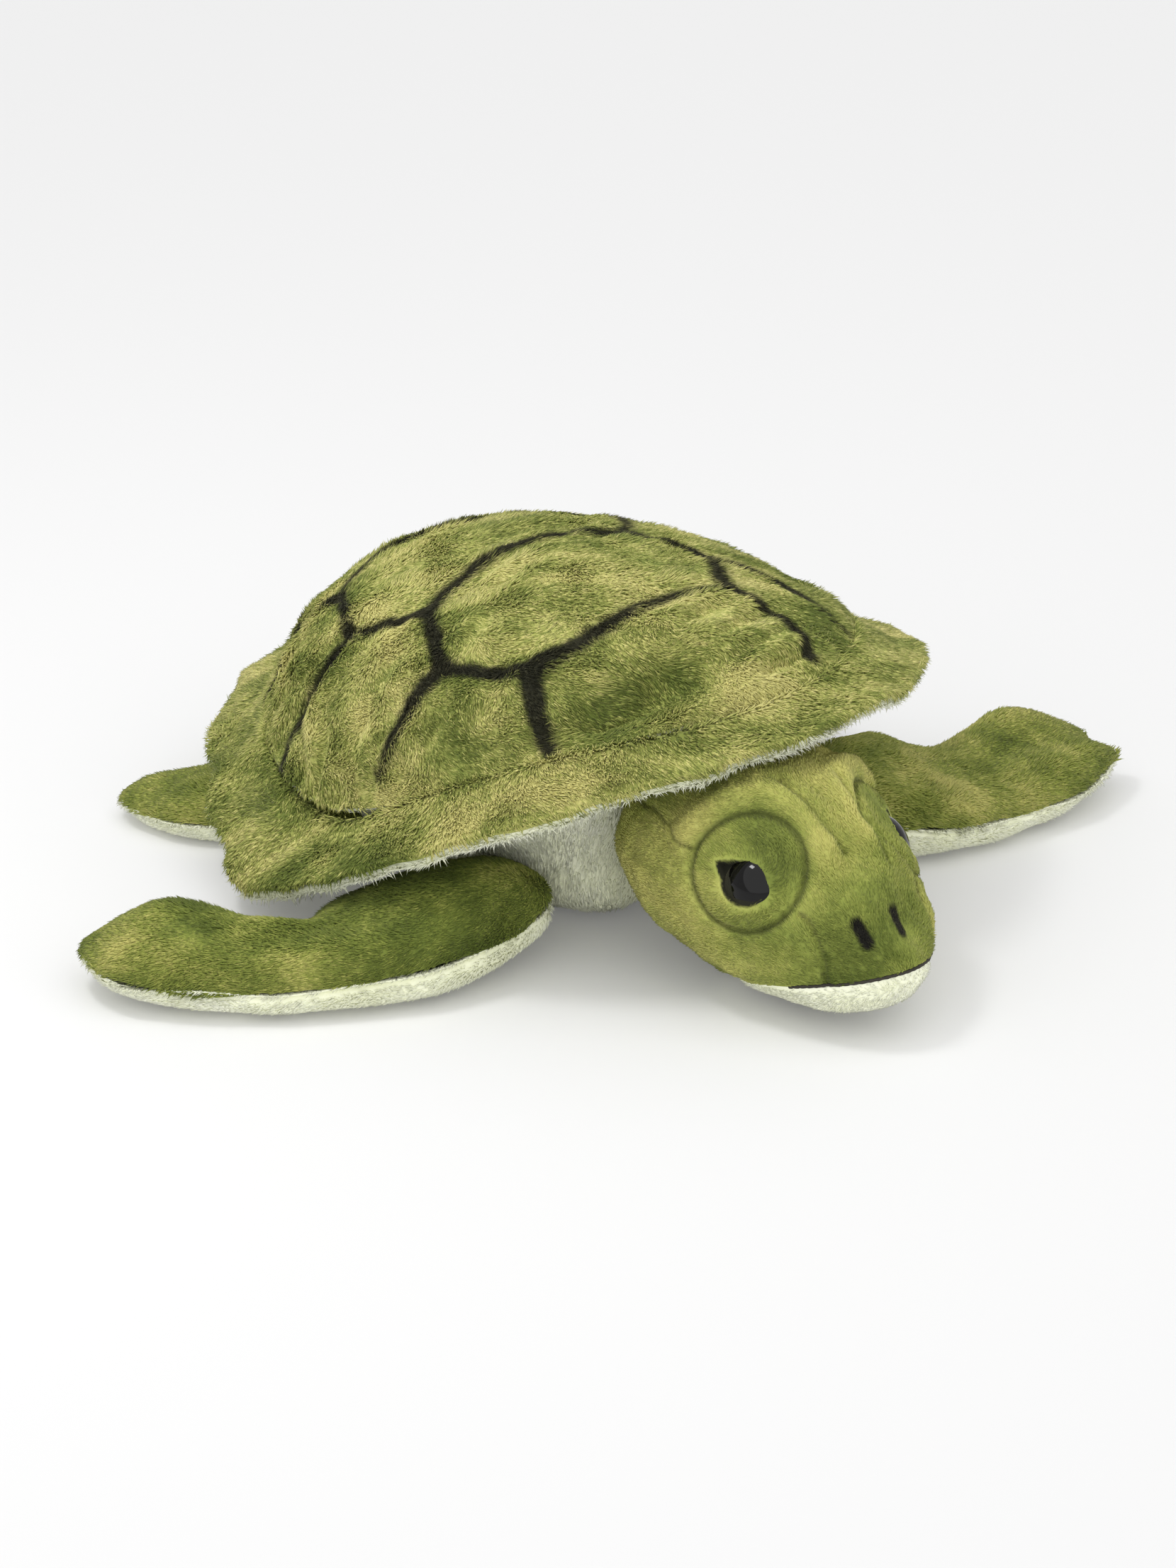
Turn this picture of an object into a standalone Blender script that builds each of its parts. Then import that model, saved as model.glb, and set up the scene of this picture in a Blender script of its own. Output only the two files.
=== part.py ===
# Plush sea turtle, stuffed and sewn from short-pile plush.
# It faces -Y and stands on z = 0; its left side is +X. The origin lies on the floor under the belly.
# Every cover is a closed wall of cloth round a fibre filling, and each limb turns about its seam.

import bmesh
import bpy
from math import acos, atan2, cos, degrees, exp, hypot, pi, radians, sin
from mathutils import Matrix, Vector
from mathutils.bvhtree import BVHTree

# Cloth and gaps
PLUSH_WALL = 0.0016
FIT_GAP = 0.0003
SEAM_GAP = 0.0003
FLOOR_PRESS = 0.0005
OVERRUN = 0.02

# Shell: the dome is measured at its crease, where the rim starts
DOME_LENGTH = 0.142
DOME_WIDTH = 0.124
DOME_TOP = 0.0745
RIM_REACH = 0.0150
RIM_TUCK = 0.0025
RIM_GAP = 0.0006
RIM_DROP = 0.0085
RIM_SAG = 0.0010
SCALLOP_REACH = 0.0055

# Hollows pressed into the dome, seen from above: where each lies across and along the dome and how
# far it spreads, as shares of the dome's half width and half length, and its depth as a share of DOME_TOP
dome_hollow_shares = ((-0.34, -0.82, 0.24, 0.055), (0.46, -0.44, 0.36, 0.032))

# Heights of the crease as shares of DOME_TOP, and of the rim's drop as shares of RIM_DROP,
# by the bearing in degrees: 0 is the front, 90 the turtle's left, -90 its right.
crease_height_shares = (
    (-180, 0.50), (-150, 0.45), (-120, 0.36), (-92, 0.34), (-62, 0.565), (-40, 0.69), (-15, 0.76),
    (10, 0.79), (30, 0.79), (60, 0.70), (90, 0.575), (135, 0.53),
)
rim_drop_shares = (
    (-180, 1.1), (-150, 1.2), (-128, 1.3), (-104, 1.7), (-84, 1.15), (-58, 0.85), (-30, 0.5),
    (0, 0.35), (40, 0.6), (90, 1.0), (135, 1.1),
)
rim_reach_shares = (
    (-180, 0.8), (-128, 0.62), (-102, 0.85), (-75, 0.82), (-45, 0.68), (-10, 0.55), (35, 0.8),
    (60, 0.95), (90, 0.9), (135, 0.9),
)
SCALLOP_PITCH = 20
SCALLOP_START = 94
SCALLOP_POWER = 0.6
SCALLOP_FOLD_SHARE = 0.35
RIM_MIDDLE_SHARE = 0.45

# Belly: how far its wall stands in from the crease, and how it drops, from the crease to the centre
belly_plan_shares = ((0, 1.0), (0.15, 0.82), (0.36, 0.69), (0.5, 0.66), (0.64, 0.58), (0.8, 0.36), (1, 0.0))
belly_drop_shares = ((0, 0.0), (0.15, 0.14), (0.36, 0.55), (0.5, 0.86), (0.64, 1.0), (0.8, 1.0), (1, 1.0))

# The belly's reach by the bearing, drawn in at the front for the neck
BELLY_TUCK_SHARE = 0.15
belly_reach_shares = (
    (-180, 0.95), (-120, 0.95), (-70, 0.95), (-38, 1.02), (0, 0.77), (38, 1.02), (70, 0.95), (120, 0.95),
)

# Finding a form's wall, and seating one form against another
WALL_STEPS = 24
SEAT_STEPS = 6
SEAT_GAP = 0.0006
TRACE_STEPS = 40

# Neck: a stuffed ball that the head turns and nods on
NECK_RADIUS = 0.0121
NECK_HEIGHT = 0.0282
NECK_ASIDE = 0.0030
NECK_SHOWS_SHARE = 0.40
NECK_ROOM_GAP = 0.0008

# Head, modelled straight ahead of the neck's upright axis and then turned with it
HEAD_LENGTH = 0.080
HEAD_HIDDEN = 0.009
HEAD_WIDTH = 0.056
HEAD_HEIGHT = 0.0485
HEAD_YAW = 7
head_width_shares = (
    (-1, 1.8), (-0.75, 1.48), (-0.5, 1.25), (-0.2, 1.07), (0.05, 0.97), (0.4, 0.89), (0.7, 0.83), (1, 0.79),
)
head_depth_shares = (
    (-1, 1.3), (-0.75, 1.15), (-0.5, 1.06), (-0.2, 1.02), (0.05, 1.0), (0.4, 0.90), (0.7, 0.86), (1, 0.86),
)
head_centre_shares = (
    (-1, 0.60), (-0.75, 0.58), (-0.5, 0.56), (-0.2, 0.53), (0.05, 0.49), (0.4, 0.41), (0.7, 0.33), (1, 0.26),
)
HEAD_START = NECK_RADIUS * NECK_SHOWS_SHARE
SNOUT = HEAD_START + HEAD_HIDDEN - HEAD_LENGTH
CHEEK_START = 0.006
CHEEK_TILT = 20
MOUTH_HEIGHT = 0.0158
MOUTH_TILT = -18
PATCH_RADIUS = 0.0130
PATCH_RISE = 0.0020

# Cages: sides round each form, and its rings as shares of the way from the seam to the pole
BODY_SIDES = 20
RIM_SIDES = 72
HEAD_SIDES = 14
NECK_SIDES = 14
FRONT_SIDES = 10
REAR_SIDES = 8
dome_ring_shares = (0, 0.3, 0.64, 1)
belly_ring_shares = (0, 0.15, 0.36, 0.64, 0.84, 1)
head_ring_shares = (0, 0.33, 0.67, 1)
flipper_ring_shares = (0, 0.42, 1)

# Eyes: the line of sight leaves the head's middle this far behind the snout and this high
EYE_BACK = 0.0360
EYE_HEIGHT = 0.0240
EYE_LOOK = 20
EYE_TILT = 20
EYE_RADIUS = 0.0060
EYE_RISE = 0.0042
EYE_STEPS = 4
EYE_SIDES = 16
PATCH_SIDES = 24
SHANK_SIDES = 8
SHANK_RADIUS = 0.0014
SHANK_LENGTH = 0.0085
WASHER_RADIUS = 0.0045
WASHER_WALL = 0.0009
WASHER_BOW = 0.0013
MERGE = 0.00005

# Flippers
FRONT_LENGTH = 0.106
FRONT_WIDTH = 0.043
FRONT_THICK = 0.026
REAR_LENGTH = 0.074
REAR_WIDTH = 0.033
REAR_THICK = 0.016
TANGENT_STEP = 0.02
FRONT_ROOT_BEARING = 44
REAR_ROOT_BEARING = 140


def curve_at(table, t):
    """A smooth curve through (position, value) pairs in rising order."""
    last = len(table) - 2
    i = max(0, min(last, sum(1 for p, _ in table if p <= t) - 1))
    (x0, y0), (x1, y1) = table[i], table[i + 1]
    before = table[i - 1] if i > 0 else (2 * x0 - x1, 2 * y0 - y1)
    after = table[i + 2] if i < last else (2 * x1 - x0, 2 * y1 - y0)
    slope0 = (y1 - before[1]) / (x1 - before[0])
    slope1 = (after[1] - y0) / (after[0] - x0)
    span = x1 - x0
    f = (t - x0) / span
    return ((2 * f**3 - 3 * f**2 + 1) * y0 + (f**3 - 2 * f**2 + f) * span * slope0
            + (3 * f**2 - 2 * f**3) * y1 + (f**3 - f**2) * span * slope1)


def around(table, bearing):
    """The same curve for a table by bearing, which closes on itself."""
    turn = 360
    bearing = (bearing + turn / 2) % turn - turn / 2
    whole = [(p - turn, v) for p, v in table[-2:]] + list(table) + [(p + turn, v) for p, v in table[:2]]
    return curve_at(whole, bearing)


# Shell and belly

def heading(bearing):
    return Vector((sin(radians(bearing)), -cos(radians(bearing)), 0))


def crease(bearing):
    """The crease between dome and rim, at one bearing."""
    way = heading(bearing)
    radius = 1 / hypot(way.x / (DOME_WIDTH / 2), way.y / (DOME_LENGTH / 2))
    point = way * radius
    point.z = DOME_TOP * around(crease_height_shares, bearing)
    return point


def scallop(bearing):
    """0 along the front, and from the flanks back the rounded tongues of the rim, 0 to 1."""
    back = abs((bearing + 180) % 360 - 180)
    start = min(1, max(0, (back - SCALLOP_START) / (SCALLOP_PITCH / 2)))
    tongue = abs(sin(radians(180 * (back - SCALLOP_START) / SCALLOP_PITCH)))
    return start * (tongue ** SCALLOP_POWER - SCALLOP_FOLD_SHARE)


def rim_edge(bearing):
    way = heading(bearing)
    reach = RIM_REACH * around(rim_reach_shares, bearing) + SCALLOP_REACH * scallop(bearing)
    edge = crease(bearing) + way * reach
    edge.z -= RIM_DROP * around(rim_drop_shares, bearing)
    return edge


def body_form(direction, inset):
    """The stuffed body under the covers: dome above the crease and belly below it."""
    bearing = degrees(atan2(direction.x, -direction.y))
    edge = crease(bearing)
    flat = hypot(direction.x, direction.y)
    if direction.z >= 0:
        point = Vector((edge.x * flat, edge.y * flat, edge.z + (DOME_TOP - edge.z) * direction.z))
        for across, along, spread, depth in dome_hollow_shares:
            apart = hypot(direction.x - across, direction.y - along) / spread
            point -= direction * DOME_TOP * depth * exp(-apart * apart)
    else:
        t = 1 - acos(min(1, -direction.z)) / (pi / 2)
        reach = 1 + (around(belly_reach_shares, bearing) - 1) * min(1, t / BELLY_TUCK_SHARE)
        plan = curve_at(belly_plan_shares, t) * reach
        drop = curve_at(belly_drop_shares, t)
        point = Vector((edge.x * plan, edge.y * plan, edge.z - (edge.z + FLOOR_PRESS) * drop))
    point -= direction * inset
    point.z = max(point.z, inset)
    return point


def belly_wall(bearing, height):
    """The point of the belly's wall at a bearing and a height above the floor."""
    low, high = 0.0, pi / 2
    for _ in range(WALL_STEPS):
        middle = (low + high) / 2
        way = heading(bearing) * sin(middle)
        point = body_form(Vector((way.x, way.y, -cos(middle))), 0)
        if point.z < height:
            low = middle
        else:
            high = middle
    return point


# Flippers: a spine on the floor plan, from the root to the tip, with the half width, the half
# thickness and the height of the seam along it. Places are shares of the flipper's own sizes.

front_right_spine_shares = ((0, 0.0, 0.0), (0.2, 0.17, -0.03), (0.45, 0.40, 0.05), (0.7, 0.63, 0.20),
                            (0.85, 0.74, 0.34), (1, 0.85, 0.49))
front_left_spine_shares = ((0, 0.0, 0.0), (0.2, 0.14, -0.10), (0.45, 0.35, -0.20), (0.7, 0.60, -0.22),
                           (0.85, 0.80, -0.22), (1, 1.0, -0.22))
front_width_shares = ((0, 1.0), (0.2, 1.05), (0.45, 0.90), (0.7, 0.96), (0.85, 1.25), (1, 1.5))
front_thick_shares = ((0, 1.37), (0.2, 1.30), (0.45, 0.64), (0.7, 0.60), (0.85, 0.78), (1, 0.82))
front_rise_shares = ((0, 0.54), (0.2, 0.50), (0.45, 0.30), (0.7, 0.26), (0.85, 0.28), (1, 0.31))
rear_spine_shares = ((0, 0.0, 0.0), (0.4, 0.21, 0.30), (0.7, 0.37, 0.55), (1, 0.53, 0.79))
rear_width_shares = ((0, 0.9), (0.4, 1.0), (0.7, 1.15), (1, 1.2))
rear_thick_shares = ((0, 1.1), (0.4, 0.9), (0.7, 0.75), (1, 0.75))
rear_rise_shares = ((0, 0.46), (0.4, 0.42), (0.7, 0.33), (1, 0.28))


def flipper_form(side, size, spine, widths, thicks, rise):
    """A stuffed flipper on the floor, out from its root. side is 1 on the left, -1 on the right."""
    length, width, thick = size
    outward = [(t, out) for t, out, _ in spine]
    rearward = [(t, back) for t, _, back in spine]

    def spine_at(t):
        return Vector((curve_at(outward, t), curve_at(rearward, t), 0)) * length

    def form(direction, inset):
        t = (direction.x + 1) / 2
        place = spine_at(t)
        tangent = (spine_at(t + TANGENT_STEP) - place).normalized()
        across = Vector((-tangent.y, tangent.x, 0))
        half = width / 2 * curve_at(widths, t) - inset
        deep = thick / 2 * curve_at(thicks, t) - inset
        place += across * direction.y * half - tangent * direction.x * inset
        height = curve_at(rise, t) * thick + direction.z * deep
        return Vector((side * place.x, place.y, max(height, inset)))

    return form


# Making solids

parts = bpy.data.collections.new("plush_turtle")
cutters = bpy.data.collections.new("cutters")


def material(name, colour, roughness):
    made = bpy.data.materials.new(name)
    made.use_nodes = True
    shader = made.node_tree.nodes["Principled BSDF"]
    shader.inputs["Base Color"].default_value = (*colour, 1)
    shader.inputs["Roughness"].default_value = roughness
    shader.inputs["Metallic"].default_value = 0
    return made


GREEN = (0.24, 0.28, 0.07)
OLIVE = (0.32, 0.34, 0.08)
CREAM = (0.78, 0.78, 0.64)
FIBRE = (0.90, 0.90, 0.88)
BLACK = (0.01, 0.01, 0.012)


def add_object(name, bm, colour, roughness, collection=None):
    mesh = bpy.data.meshes.new(name)
    bm.to_mesh(mesh)
    bm.free()
    mesh.shade_smooth()
    made = bpy.data.objects.new(name, mesh)
    (collection or parts).objects.link(made)
    if collection is cutters:
        made.hide_render = True
        made.display_type = "WIRE"
    else:
        mesh.materials.append(material(name, colour, roughness))
    return made


def smoothed(made):
    surface = made.modifiers.new("soft", "SUBSURF")
    surface.levels = 1
    surface.render_levels = 1
    return made


def faced_out(bm):
    """Turns the faces of a closed mesh round if a mirrored mapping left them pointing in."""
    if bm.calc_volume(signed=True) < 0:
        bmesh.ops.reverse_faces(bm, faces=bm.faces)
    return bm


def ladder(shares):
    """The polar angles of a half's rings, from its pole to the seam."""
    return [pi / 2 * (1 - share) for share in reversed(shares)]


def mapped_sphere(sides, levels, form, lift=0):
    """A ball whose rings go where the form puts each level's polar angle and inset."""
    bm = bmesh.new()
    slices = len(levels) - 1
    bmesh.ops.create_uvsphere(bm, u_segments=sides, v_segments=slices, radius=1)
    for vert in bm.verts:
        polar, inset = levels[round(acos(max(-1, min(1, vert.co.z))) / pi * slices)]
        flat = Vector((vert.co.x, vert.co.y, 0)).normalized() * sin(polar)
        vert.co = form(Vector((flat.x, flat.y, cos(polar))), inset)
        vert.co.z += lift
    return faced_out(bm)


def stuffed(name, form, sides, upper, lower, inset, colour, collection=None):
    """A closed form from its upper pole over the seam to its lower pole."""
    polars = ladder(upper) + [pi - polar for polar in reversed(ladder(lower)[:-1])]
    bm = mapped_sphere(sides, [(polar, inset) for polar in polars], form)
    return smoothed(add_object(name, bm, colour, 1, collection))


def cover(name, form, half, sides, shares, colour):
    """The upper (half 1) or lower (half -1) cover of a form, a cloth wall open at the seam."""
    polars = [polar if half > 0 else pi - polar for polar in ladder(shares)]
    levels = [(polar, 0) for polar in polars] + [(polar, PLUSH_WALL) for polar in reversed(polars)]
    bm = mapped_sphere(sides, levels, form, SEAM_GAP if half > 0 else 0)
    return smoothed(add_object(name, bm, colour, 1))


def seam_reach(bearing, trees):
    """Where the rim's inner edge ends, tucked under the dome's edge without touching the covers."""
    way = heading(bearing)
    place = crease(bearing) + way * RIM_REACH
    slide = 0
    for _ in range(TRACE_STEPS):
        slide += min(tree.find_nearest(place - way * slide)[3] for tree in trees) - RIM_GAP
    return place - way * min(slide, RIM_REACH + RIM_TUCK)


def rim_layer(name, upper, lower, segments, colour, covers):
    """One ring of cloth from the covers to the edge, between two depths below the rim's face."""
    bpy.context.view_layer.update()
    graph = bpy.context.evaluated_depsgraph_get()
    trees = [BVHTree.FromObject(one, graph) for one in covers]
    corners = ((0, upper), (RIM_MIDDLE_SHARE, upper), (1, upper), (1, lower), (RIM_MIDDLE_SHARE, lower), (0, lower))
    bpy.ops.mesh.primitive_torus_add(
        major_segments=segments, minor_segments=len(corners), major_radius=1, minor_radius=0.5)
    ring = bpy.context.active_object
    bm = bmesh.new()
    bm.from_mesh(ring.data)
    bpy.data.objects.remove(ring)
    for vert in bm.verts:
        bearing = degrees(atan2(vert.co.x, -vert.co.y))
        turn = atan2(vert.co.z, hypot(vert.co.x, vert.co.y) - 1)
        corner = round(turn / (2 * pi) * len(corners)) % len(corners)
        share, depth = corners[corner]
        start, end = seam_reach(bearing, trees), rim_edge(bearing)
        vert.co = start.lerp(end, share)
        vert.co.z -= depth + RIM_SAG * 4 * share * (1 - share)
    bmesh.ops.triangulate(bm, faces=bm.faces, quad_method="SHORT_EDGE")
    return add_object(name, faced_out(bm), colour, 1)


def cut(made, cutter, operation="DIFFERENCE"):
    boolean = made.modifiers.new(operation.lower(), "BOOLEAN")
    boolean.operation = operation
    boolean.object = cutter
    return made


def block(name, low, high, turn=None):
    """A cutter box between two corners."""
    bm = bmesh.new()
    bmesh.ops.create_cube(bm, size=1)
    for vert in bm.verts:
        vert.co = Vector([(low[k] + high[k]) / 2 + vert.co[k] * (high[k] - low[k]) for k in range(3)])
        if turn:
            vert.co = turn(vert.co)
    return add_object(name, bm, BLACK, 1, cutters)


def rod(name, base, axis, radius, length, sides, collection=cutters, colour=BLACK):
    bm = bmesh.new()
    bmesh.ops.create_cone(bm, cap_ends=True, segments=sides, radius1=radius, radius2=radius, depth=length)
    stand = axis.to_track_quat("Z", "Y").to_matrix().to_4x4()
    bmesh.ops.transform(bm, verts=bm.verts, matrix=Matrix.Translation(base + axis * length / 2) @ stand)
    return add_object(name, bm, colour, 1, collection)


def clear_scene():
    for old in list(bpy.data.objects):
        bpy.data.objects.remove(old)
    for group in (parts, cutters):
        bpy.context.scene.collection.children.link(group)
    cutters.hide_render = True


def clearance(moving, fixed, shift):
    """The least distance between two forms, once the moving one is shifted."""
    graph = bpy.context.evaluated_depsgraph_get()
    least = []
    for one, other, way in ((moving, fixed, shift), (fixed, moving, -shift)):
        tree = BVHTree.FromObject(other, graph)
        mesh = one.evaluated_get(graph).data
        places = [vert.co for vert in mesh.vertices] + [face.center for face in mesh.polygons]
        least += [tree.find_nearest(place + way)[3] for place in places]
    return min(least)


def seated(pieces, fixed, start, way):
    """Where the pieces come to rest a seat's gap from the fixed one, sliding along way from start."""
    bpy.context.view_layer.update()
    place = start
    for _ in range(SEAT_STEPS):
        place = place + way * (min(clearance(piece, fixed, place) for piece in pieces) - SEAT_GAP)
    return place


def carried(name, axis_place, place, pieces):
    """An empty on a joint's axis that carries the pieces. axis_place is in the pieces' own space."""
    pivot = bpy.data.objects.new(name, None)
    parts.objects.link(pivot)
    pivot.location = place + axis_place
    for piece in pieces:
        piece.parent = pivot
        piece.matrix_parent_inverse = Matrix.Translation(-axis_place)
    return pivot


def build_shell():
    """The body's covers and filling and the rim round them. Returns the belly's cover."""
    dome = cover("dome_cover", body_form, 1, BODY_SIDES, dome_ring_shares, GREEN)
    belly = cover("belly_cover", body_form, -1, BODY_SIDES, belly_ring_shares, CREAM)
    stuffed("body_filling", body_form, BODY_SIDES, dome_ring_shares, belly_ring_shares,
            PLUSH_WALL + FIT_GAP, FIBRE)
    rim_layer("rim_cover", 0, PLUSH_WALL, RIM_SIDES, GREEN, (dome, belly))
    rim_layer("rim_lining", PLUSH_WALL + FIT_GAP, 2 * PLUSH_WALL + FIT_GAP, RIM_SIDES, CREAM, (dome, belly))
    return belly


# Neck and head

def neck_ball(name, grown=0, collection=None):
    bm = bmesh.new()
    bmesh.ops.create_uvsphere(bm, u_segments=NECK_SIDES, v_segments=NECK_SIDES // 2, radius=NECK_RADIUS + grown)
    return add_object(name, bm, CREAM, 1, collection)


def build_neck(belly):
    """The neck ball, slid back until it rests against the chest."""
    neck = neck_ball("neck")
    start = Vector((-NECK_ASIDE, -DOME_LENGTH / 2 - NECK_RADIUS, NECK_HEIGHT))
    neck.location = seated([neck], belly, start, Vector((0, 1, 0)))
    neck.rotation_euler.z = radians(-HEAD_YAW)
    return neck


def head_form(direction, inset):
    """The head, from behind the neck seam to the snout, pressed flat under the chin."""
    along = -direction.y
    width = HEAD_WIDTH / 2 * curve_at(head_width_shares, along)
    depth = HEAD_HEIGHT / 2 * curve_at(head_depth_shares, along)
    centre = HEAD_HEIGHT * curve_at(head_centre_shares, along)
    middle = SNOUT + HEAD_LENGTH / 2
    point = Vector((direction.x * width, middle - along * HEAD_LENGTH / 2, centre + direction.z * depth))
    point -= direction * inset
    point.z = max(point.z, inset)
    return point


def head_block(name, low, high, hinge=SNOUT, tilt=0):
    """A cutter box, tilted about a line across the head at the mouth's height."""
    line = Vector((0, hinge, MOUTH_HEIGHT))
    lean = Matrix.Rotation(radians(tilt), 3, "X")

    def turn(point):
        return line + lean @ (point - line)

    return block(name, low, high, turn)


def panel(name, colour, kept, dropped):
    """A panel of the head's cloth: the skin inside the kept cutters and outside the dropped ones."""
    made = head_ball(name, 0, colour)
    cut(made, bpy.data.objects["head_void"])
    cut(made, bpy.data.objects["neck_opening"])
    for cutter in kept:
        cut(made, cutter, "INTERSECT")
    for cutter in dropped:
        cut(made, cutter)
    return made


def head_ball(name, inset, colour, collection=None):
    return stuffed(name, head_form, HEAD_SIDES, head_ring_shares, head_ring_shares, inset, colour, collection)


def eye_seat(side):
    """Where an eye sits on the skin, and the way that the skin faces there."""
    way = Vector((side * cos(radians(EYE_LOOK)) * cos(radians(EYE_TILT)),
                  -sin(radians(EYE_LOOK)) * cos(radians(EYE_TILT)), sin(radians(EYE_TILT))))
    bpy.context.view_layer.update()
    skin = BVHTree.FromObject(bpy.data.objects["head_skin"], bpy.context.evaluated_depsgraph_get())
    return skin.ray_cast(Vector((0, SNOUT + EYE_BACK, EYE_HEIGHT)), way)[:2]


def build_head(neck):
    far = OVERRUN + HEAD_LENGTH
    before = set(bpy.data.objects)
    head_ball("head_skin", 0, GREEN, cutters)
    head_ball("head_void", PLUSH_WALL, GREEN, cutters)
    head_block("neck_opening", (-far, HEAD_START, -far), (far, far, far))
    crown, crown_room = [
        head_block(name, (-far, -far, MOUTH_HEIGHT - more), (far, far, far), SNOUT + CHEEK_START, CHEEK_TILT)
        for name, more in (("crown_block", 0), ("crown_room", SEAM_GAP))]
    chin, chin_room = [
        head_block(name, (-far, -far, -far), (far, far, MOUTH_HEIGHT + more), SNOUT, MOUTH_TILT)
        for name, more in (("chin_block", 0), ("chin_room", SEAM_GAP))]
    filling = head_ball("head_filling", PLUSH_WALL + FIT_GAP, FIBRE)
    cut(filling, bpy.data.objects["neck_opening"])
    room = neck_ball("neck_room", NECK_ROOM_GAP, cutters)
    room.location.z = NECK_HEIGHT
    cut(filling, room)
    patch_rooms = []
    for side, name in ((-1, "right"), (1, "left")):
        seat, way = eye_seat(side)
        inside = seat - way * SHANK_LENGTH
        middle = inside + Vector((0, 0, PATCH_RISE))
        reach = SHANK_LENGTH + OVERRUN / 2
        patch = rod("patch_rod_" + name, middle, way, PATCH_RADIUS, reach, PATCH_SIDES)
        patch_room = rod("patch_room_" + name, middle - way * SEAM_GAP, way, PATCH_RADIUS + SEAM_GAP,
                         reach + OVERRUN, PATCH_SIDES)
        hole = rod("shank_hole_" + name, inside, way, SHANK_RADIUS + FIT_GAP, reach, SHANK_SIDES)
        away = sorted((-side * SEAM_GAP / 2, side * SEAM_GAP / 2))
        other = head_block("other_" + name, (-far if side > 0 else away[0], -far, -far),
                           (far if side < 0 else away[1], far, far))
        panel("cheek_" + name, GREEN, [], [crown_room, chin_room, patch_room, other])
        panel("eye_patch_" + name, OLIVE, [patch], [hole])
        cut(filling, rod("washer_room_" + name, inside - way * FIT_GAP, way, WASHER_RADIUS + FIT_GAP,
                         reach, EYE_SIDES))
        build_eye(name, seat, way)
        patch_rooms.append(patch_room)
    panel("head_crown", GREEN, [crown], [chin_room] + patch_rooms)
    panel("chin_panel", CREAM, [chin], [])
    pieces = [made for made in bpy.data.objects if made not in before]
    height = Vector((0, 0, NECK_HEIGHT))
    carried("head_pivot", height, -height, pieces).parent = neck


def turned(name, profile, seat, way, steps, colour, roughness, closed=False):
    """A turned piece: a profile of (radius, height) down its outer side, stood on seat along way."""
    mesh = bpy.data.meshes.new(name)
    ends = [(i, i + 1) for i in range(len(profile) - 1)]
    if closed:
        ends.append((len(profile) - 1, 0))
    mesh.from_pydata([(radius, 0, height) for radius, height in profile], ends, [])
    made = bpy.data.objects.new(name, mesh)
    mesh.materials.append(material(name, colour, roughness))
    parts.objects.link(made)
    made.location = seat
    made.rotation_euler = way.to_track_quat("Z", "Y").to_euler()
    screw = made.modifiers.new("turn", "SCREW")
    screw.steps = steps
    screw.render_steps = steps
    screw.use_merge_vertices = True
    screw.merge_threshold = MERGE
    return made


def build_eye(name, seat, way):
    """A glossy domed eye with its shank, and the washer that holds it behind the cloth."""
    dome = [(EYE_RADIUS * sin(pi / 2 * k / EYE_STEPS), EYE_RISE * cos(pi / 2 * k / EYE_STEPS))
            for k in range(EYE_STEPS)]
    profile = dome + [(EYE_RADIUS, 0), (SHANK_RADIUS, 0), (SHANK_RADIUS, -SHANK_LENGTH), (0, -SHANK_LENGTH)]
    turned("eye_" + name, profile, seat + way * FIT_GAP, way, EYE_SIDES, BLACK, 0.08)
    front = -PLUSH_WALL - WASHER_BOW
    back = front - WASHER_WALL
    hole = SHANK_RADIUS + FIT_GAP
    ring = [(WASHER_RADIUS, front), (WASHER_RADIUS, back), (hole, back), (hole, front)]
    turned("eye_washer_" + name, ring, seat, way, EYE_SIDES, FIBRE, 0.4, closed=True)


# Flippers on the body

def build_flipper(name, side, bearing, size, spine, widths, thicks, rise, sides, belly):
    """A flipper slid in at its bearing until its root rests against the belly."""
    form = flipper_form(side, size, spine, widths, thicks, rise)
    top = cover(name + "_top", form, 1, sides, flipper_ring_shares, GREEN)
    bottom = cover(name + "_bottom", form, -1, sides, flipper_ring_shares, CREAM)
    filling = stuffed(name + "_filling", form, sides, flipper_ring_shares, flipper_ring_shares,
                      PLUSH_WALL + FIT_GAP, FIBRE)
    length, _, thick = size
    out = heading(side * bearing)
    root_height = rise[0][1] * thick
    start = belly_wall(side * bearing, root_height) + out * thick
    start.z = 0
    place = seated([top, bottom], belly, start, -out)
    _, away, back = spine[1]
    inward = Vector((side * away, back, 0)).normalized() * thick * thick / length
    carried(name + "_pivot", inward + Vector((0, 0, root_height)), place, [top, bottom, filling])


clear_scene()
belly_cover = build_shell()
build_head(build_neck(belly_cover))
for side, name, spine in ((-1, "right", front_right_spine_shares), (1, "left", front_left_spine_shares)):
    build_flipper("front_flipper_" + name, side, FRONT_ROOT_BEARING, (FRONT_LENGTH, FRONT_WIDTH, FRONT_THICK),
                  spine, front_width_shares, front_thick_shares, front_rise_shares, FRONT_SIDES, belly_cover)
    build_flipper("rear_flipper_" + name, side, REAR_ROOT_BEARING, (REAR_LENGTH, REAR_WIDTH, REAR_THICK),
                  rear_spine_shares, rear_width_shares, rear_thick_shares, rear_rise_shares, REAR_SIDES,
                  belly_cover)
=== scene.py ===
from math import cos, radians, sin

import bmesh
import bpy
import numpy as np
from mathutils import Matrix, Vector
from mathutils.bvhtree import BVHTree


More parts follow.
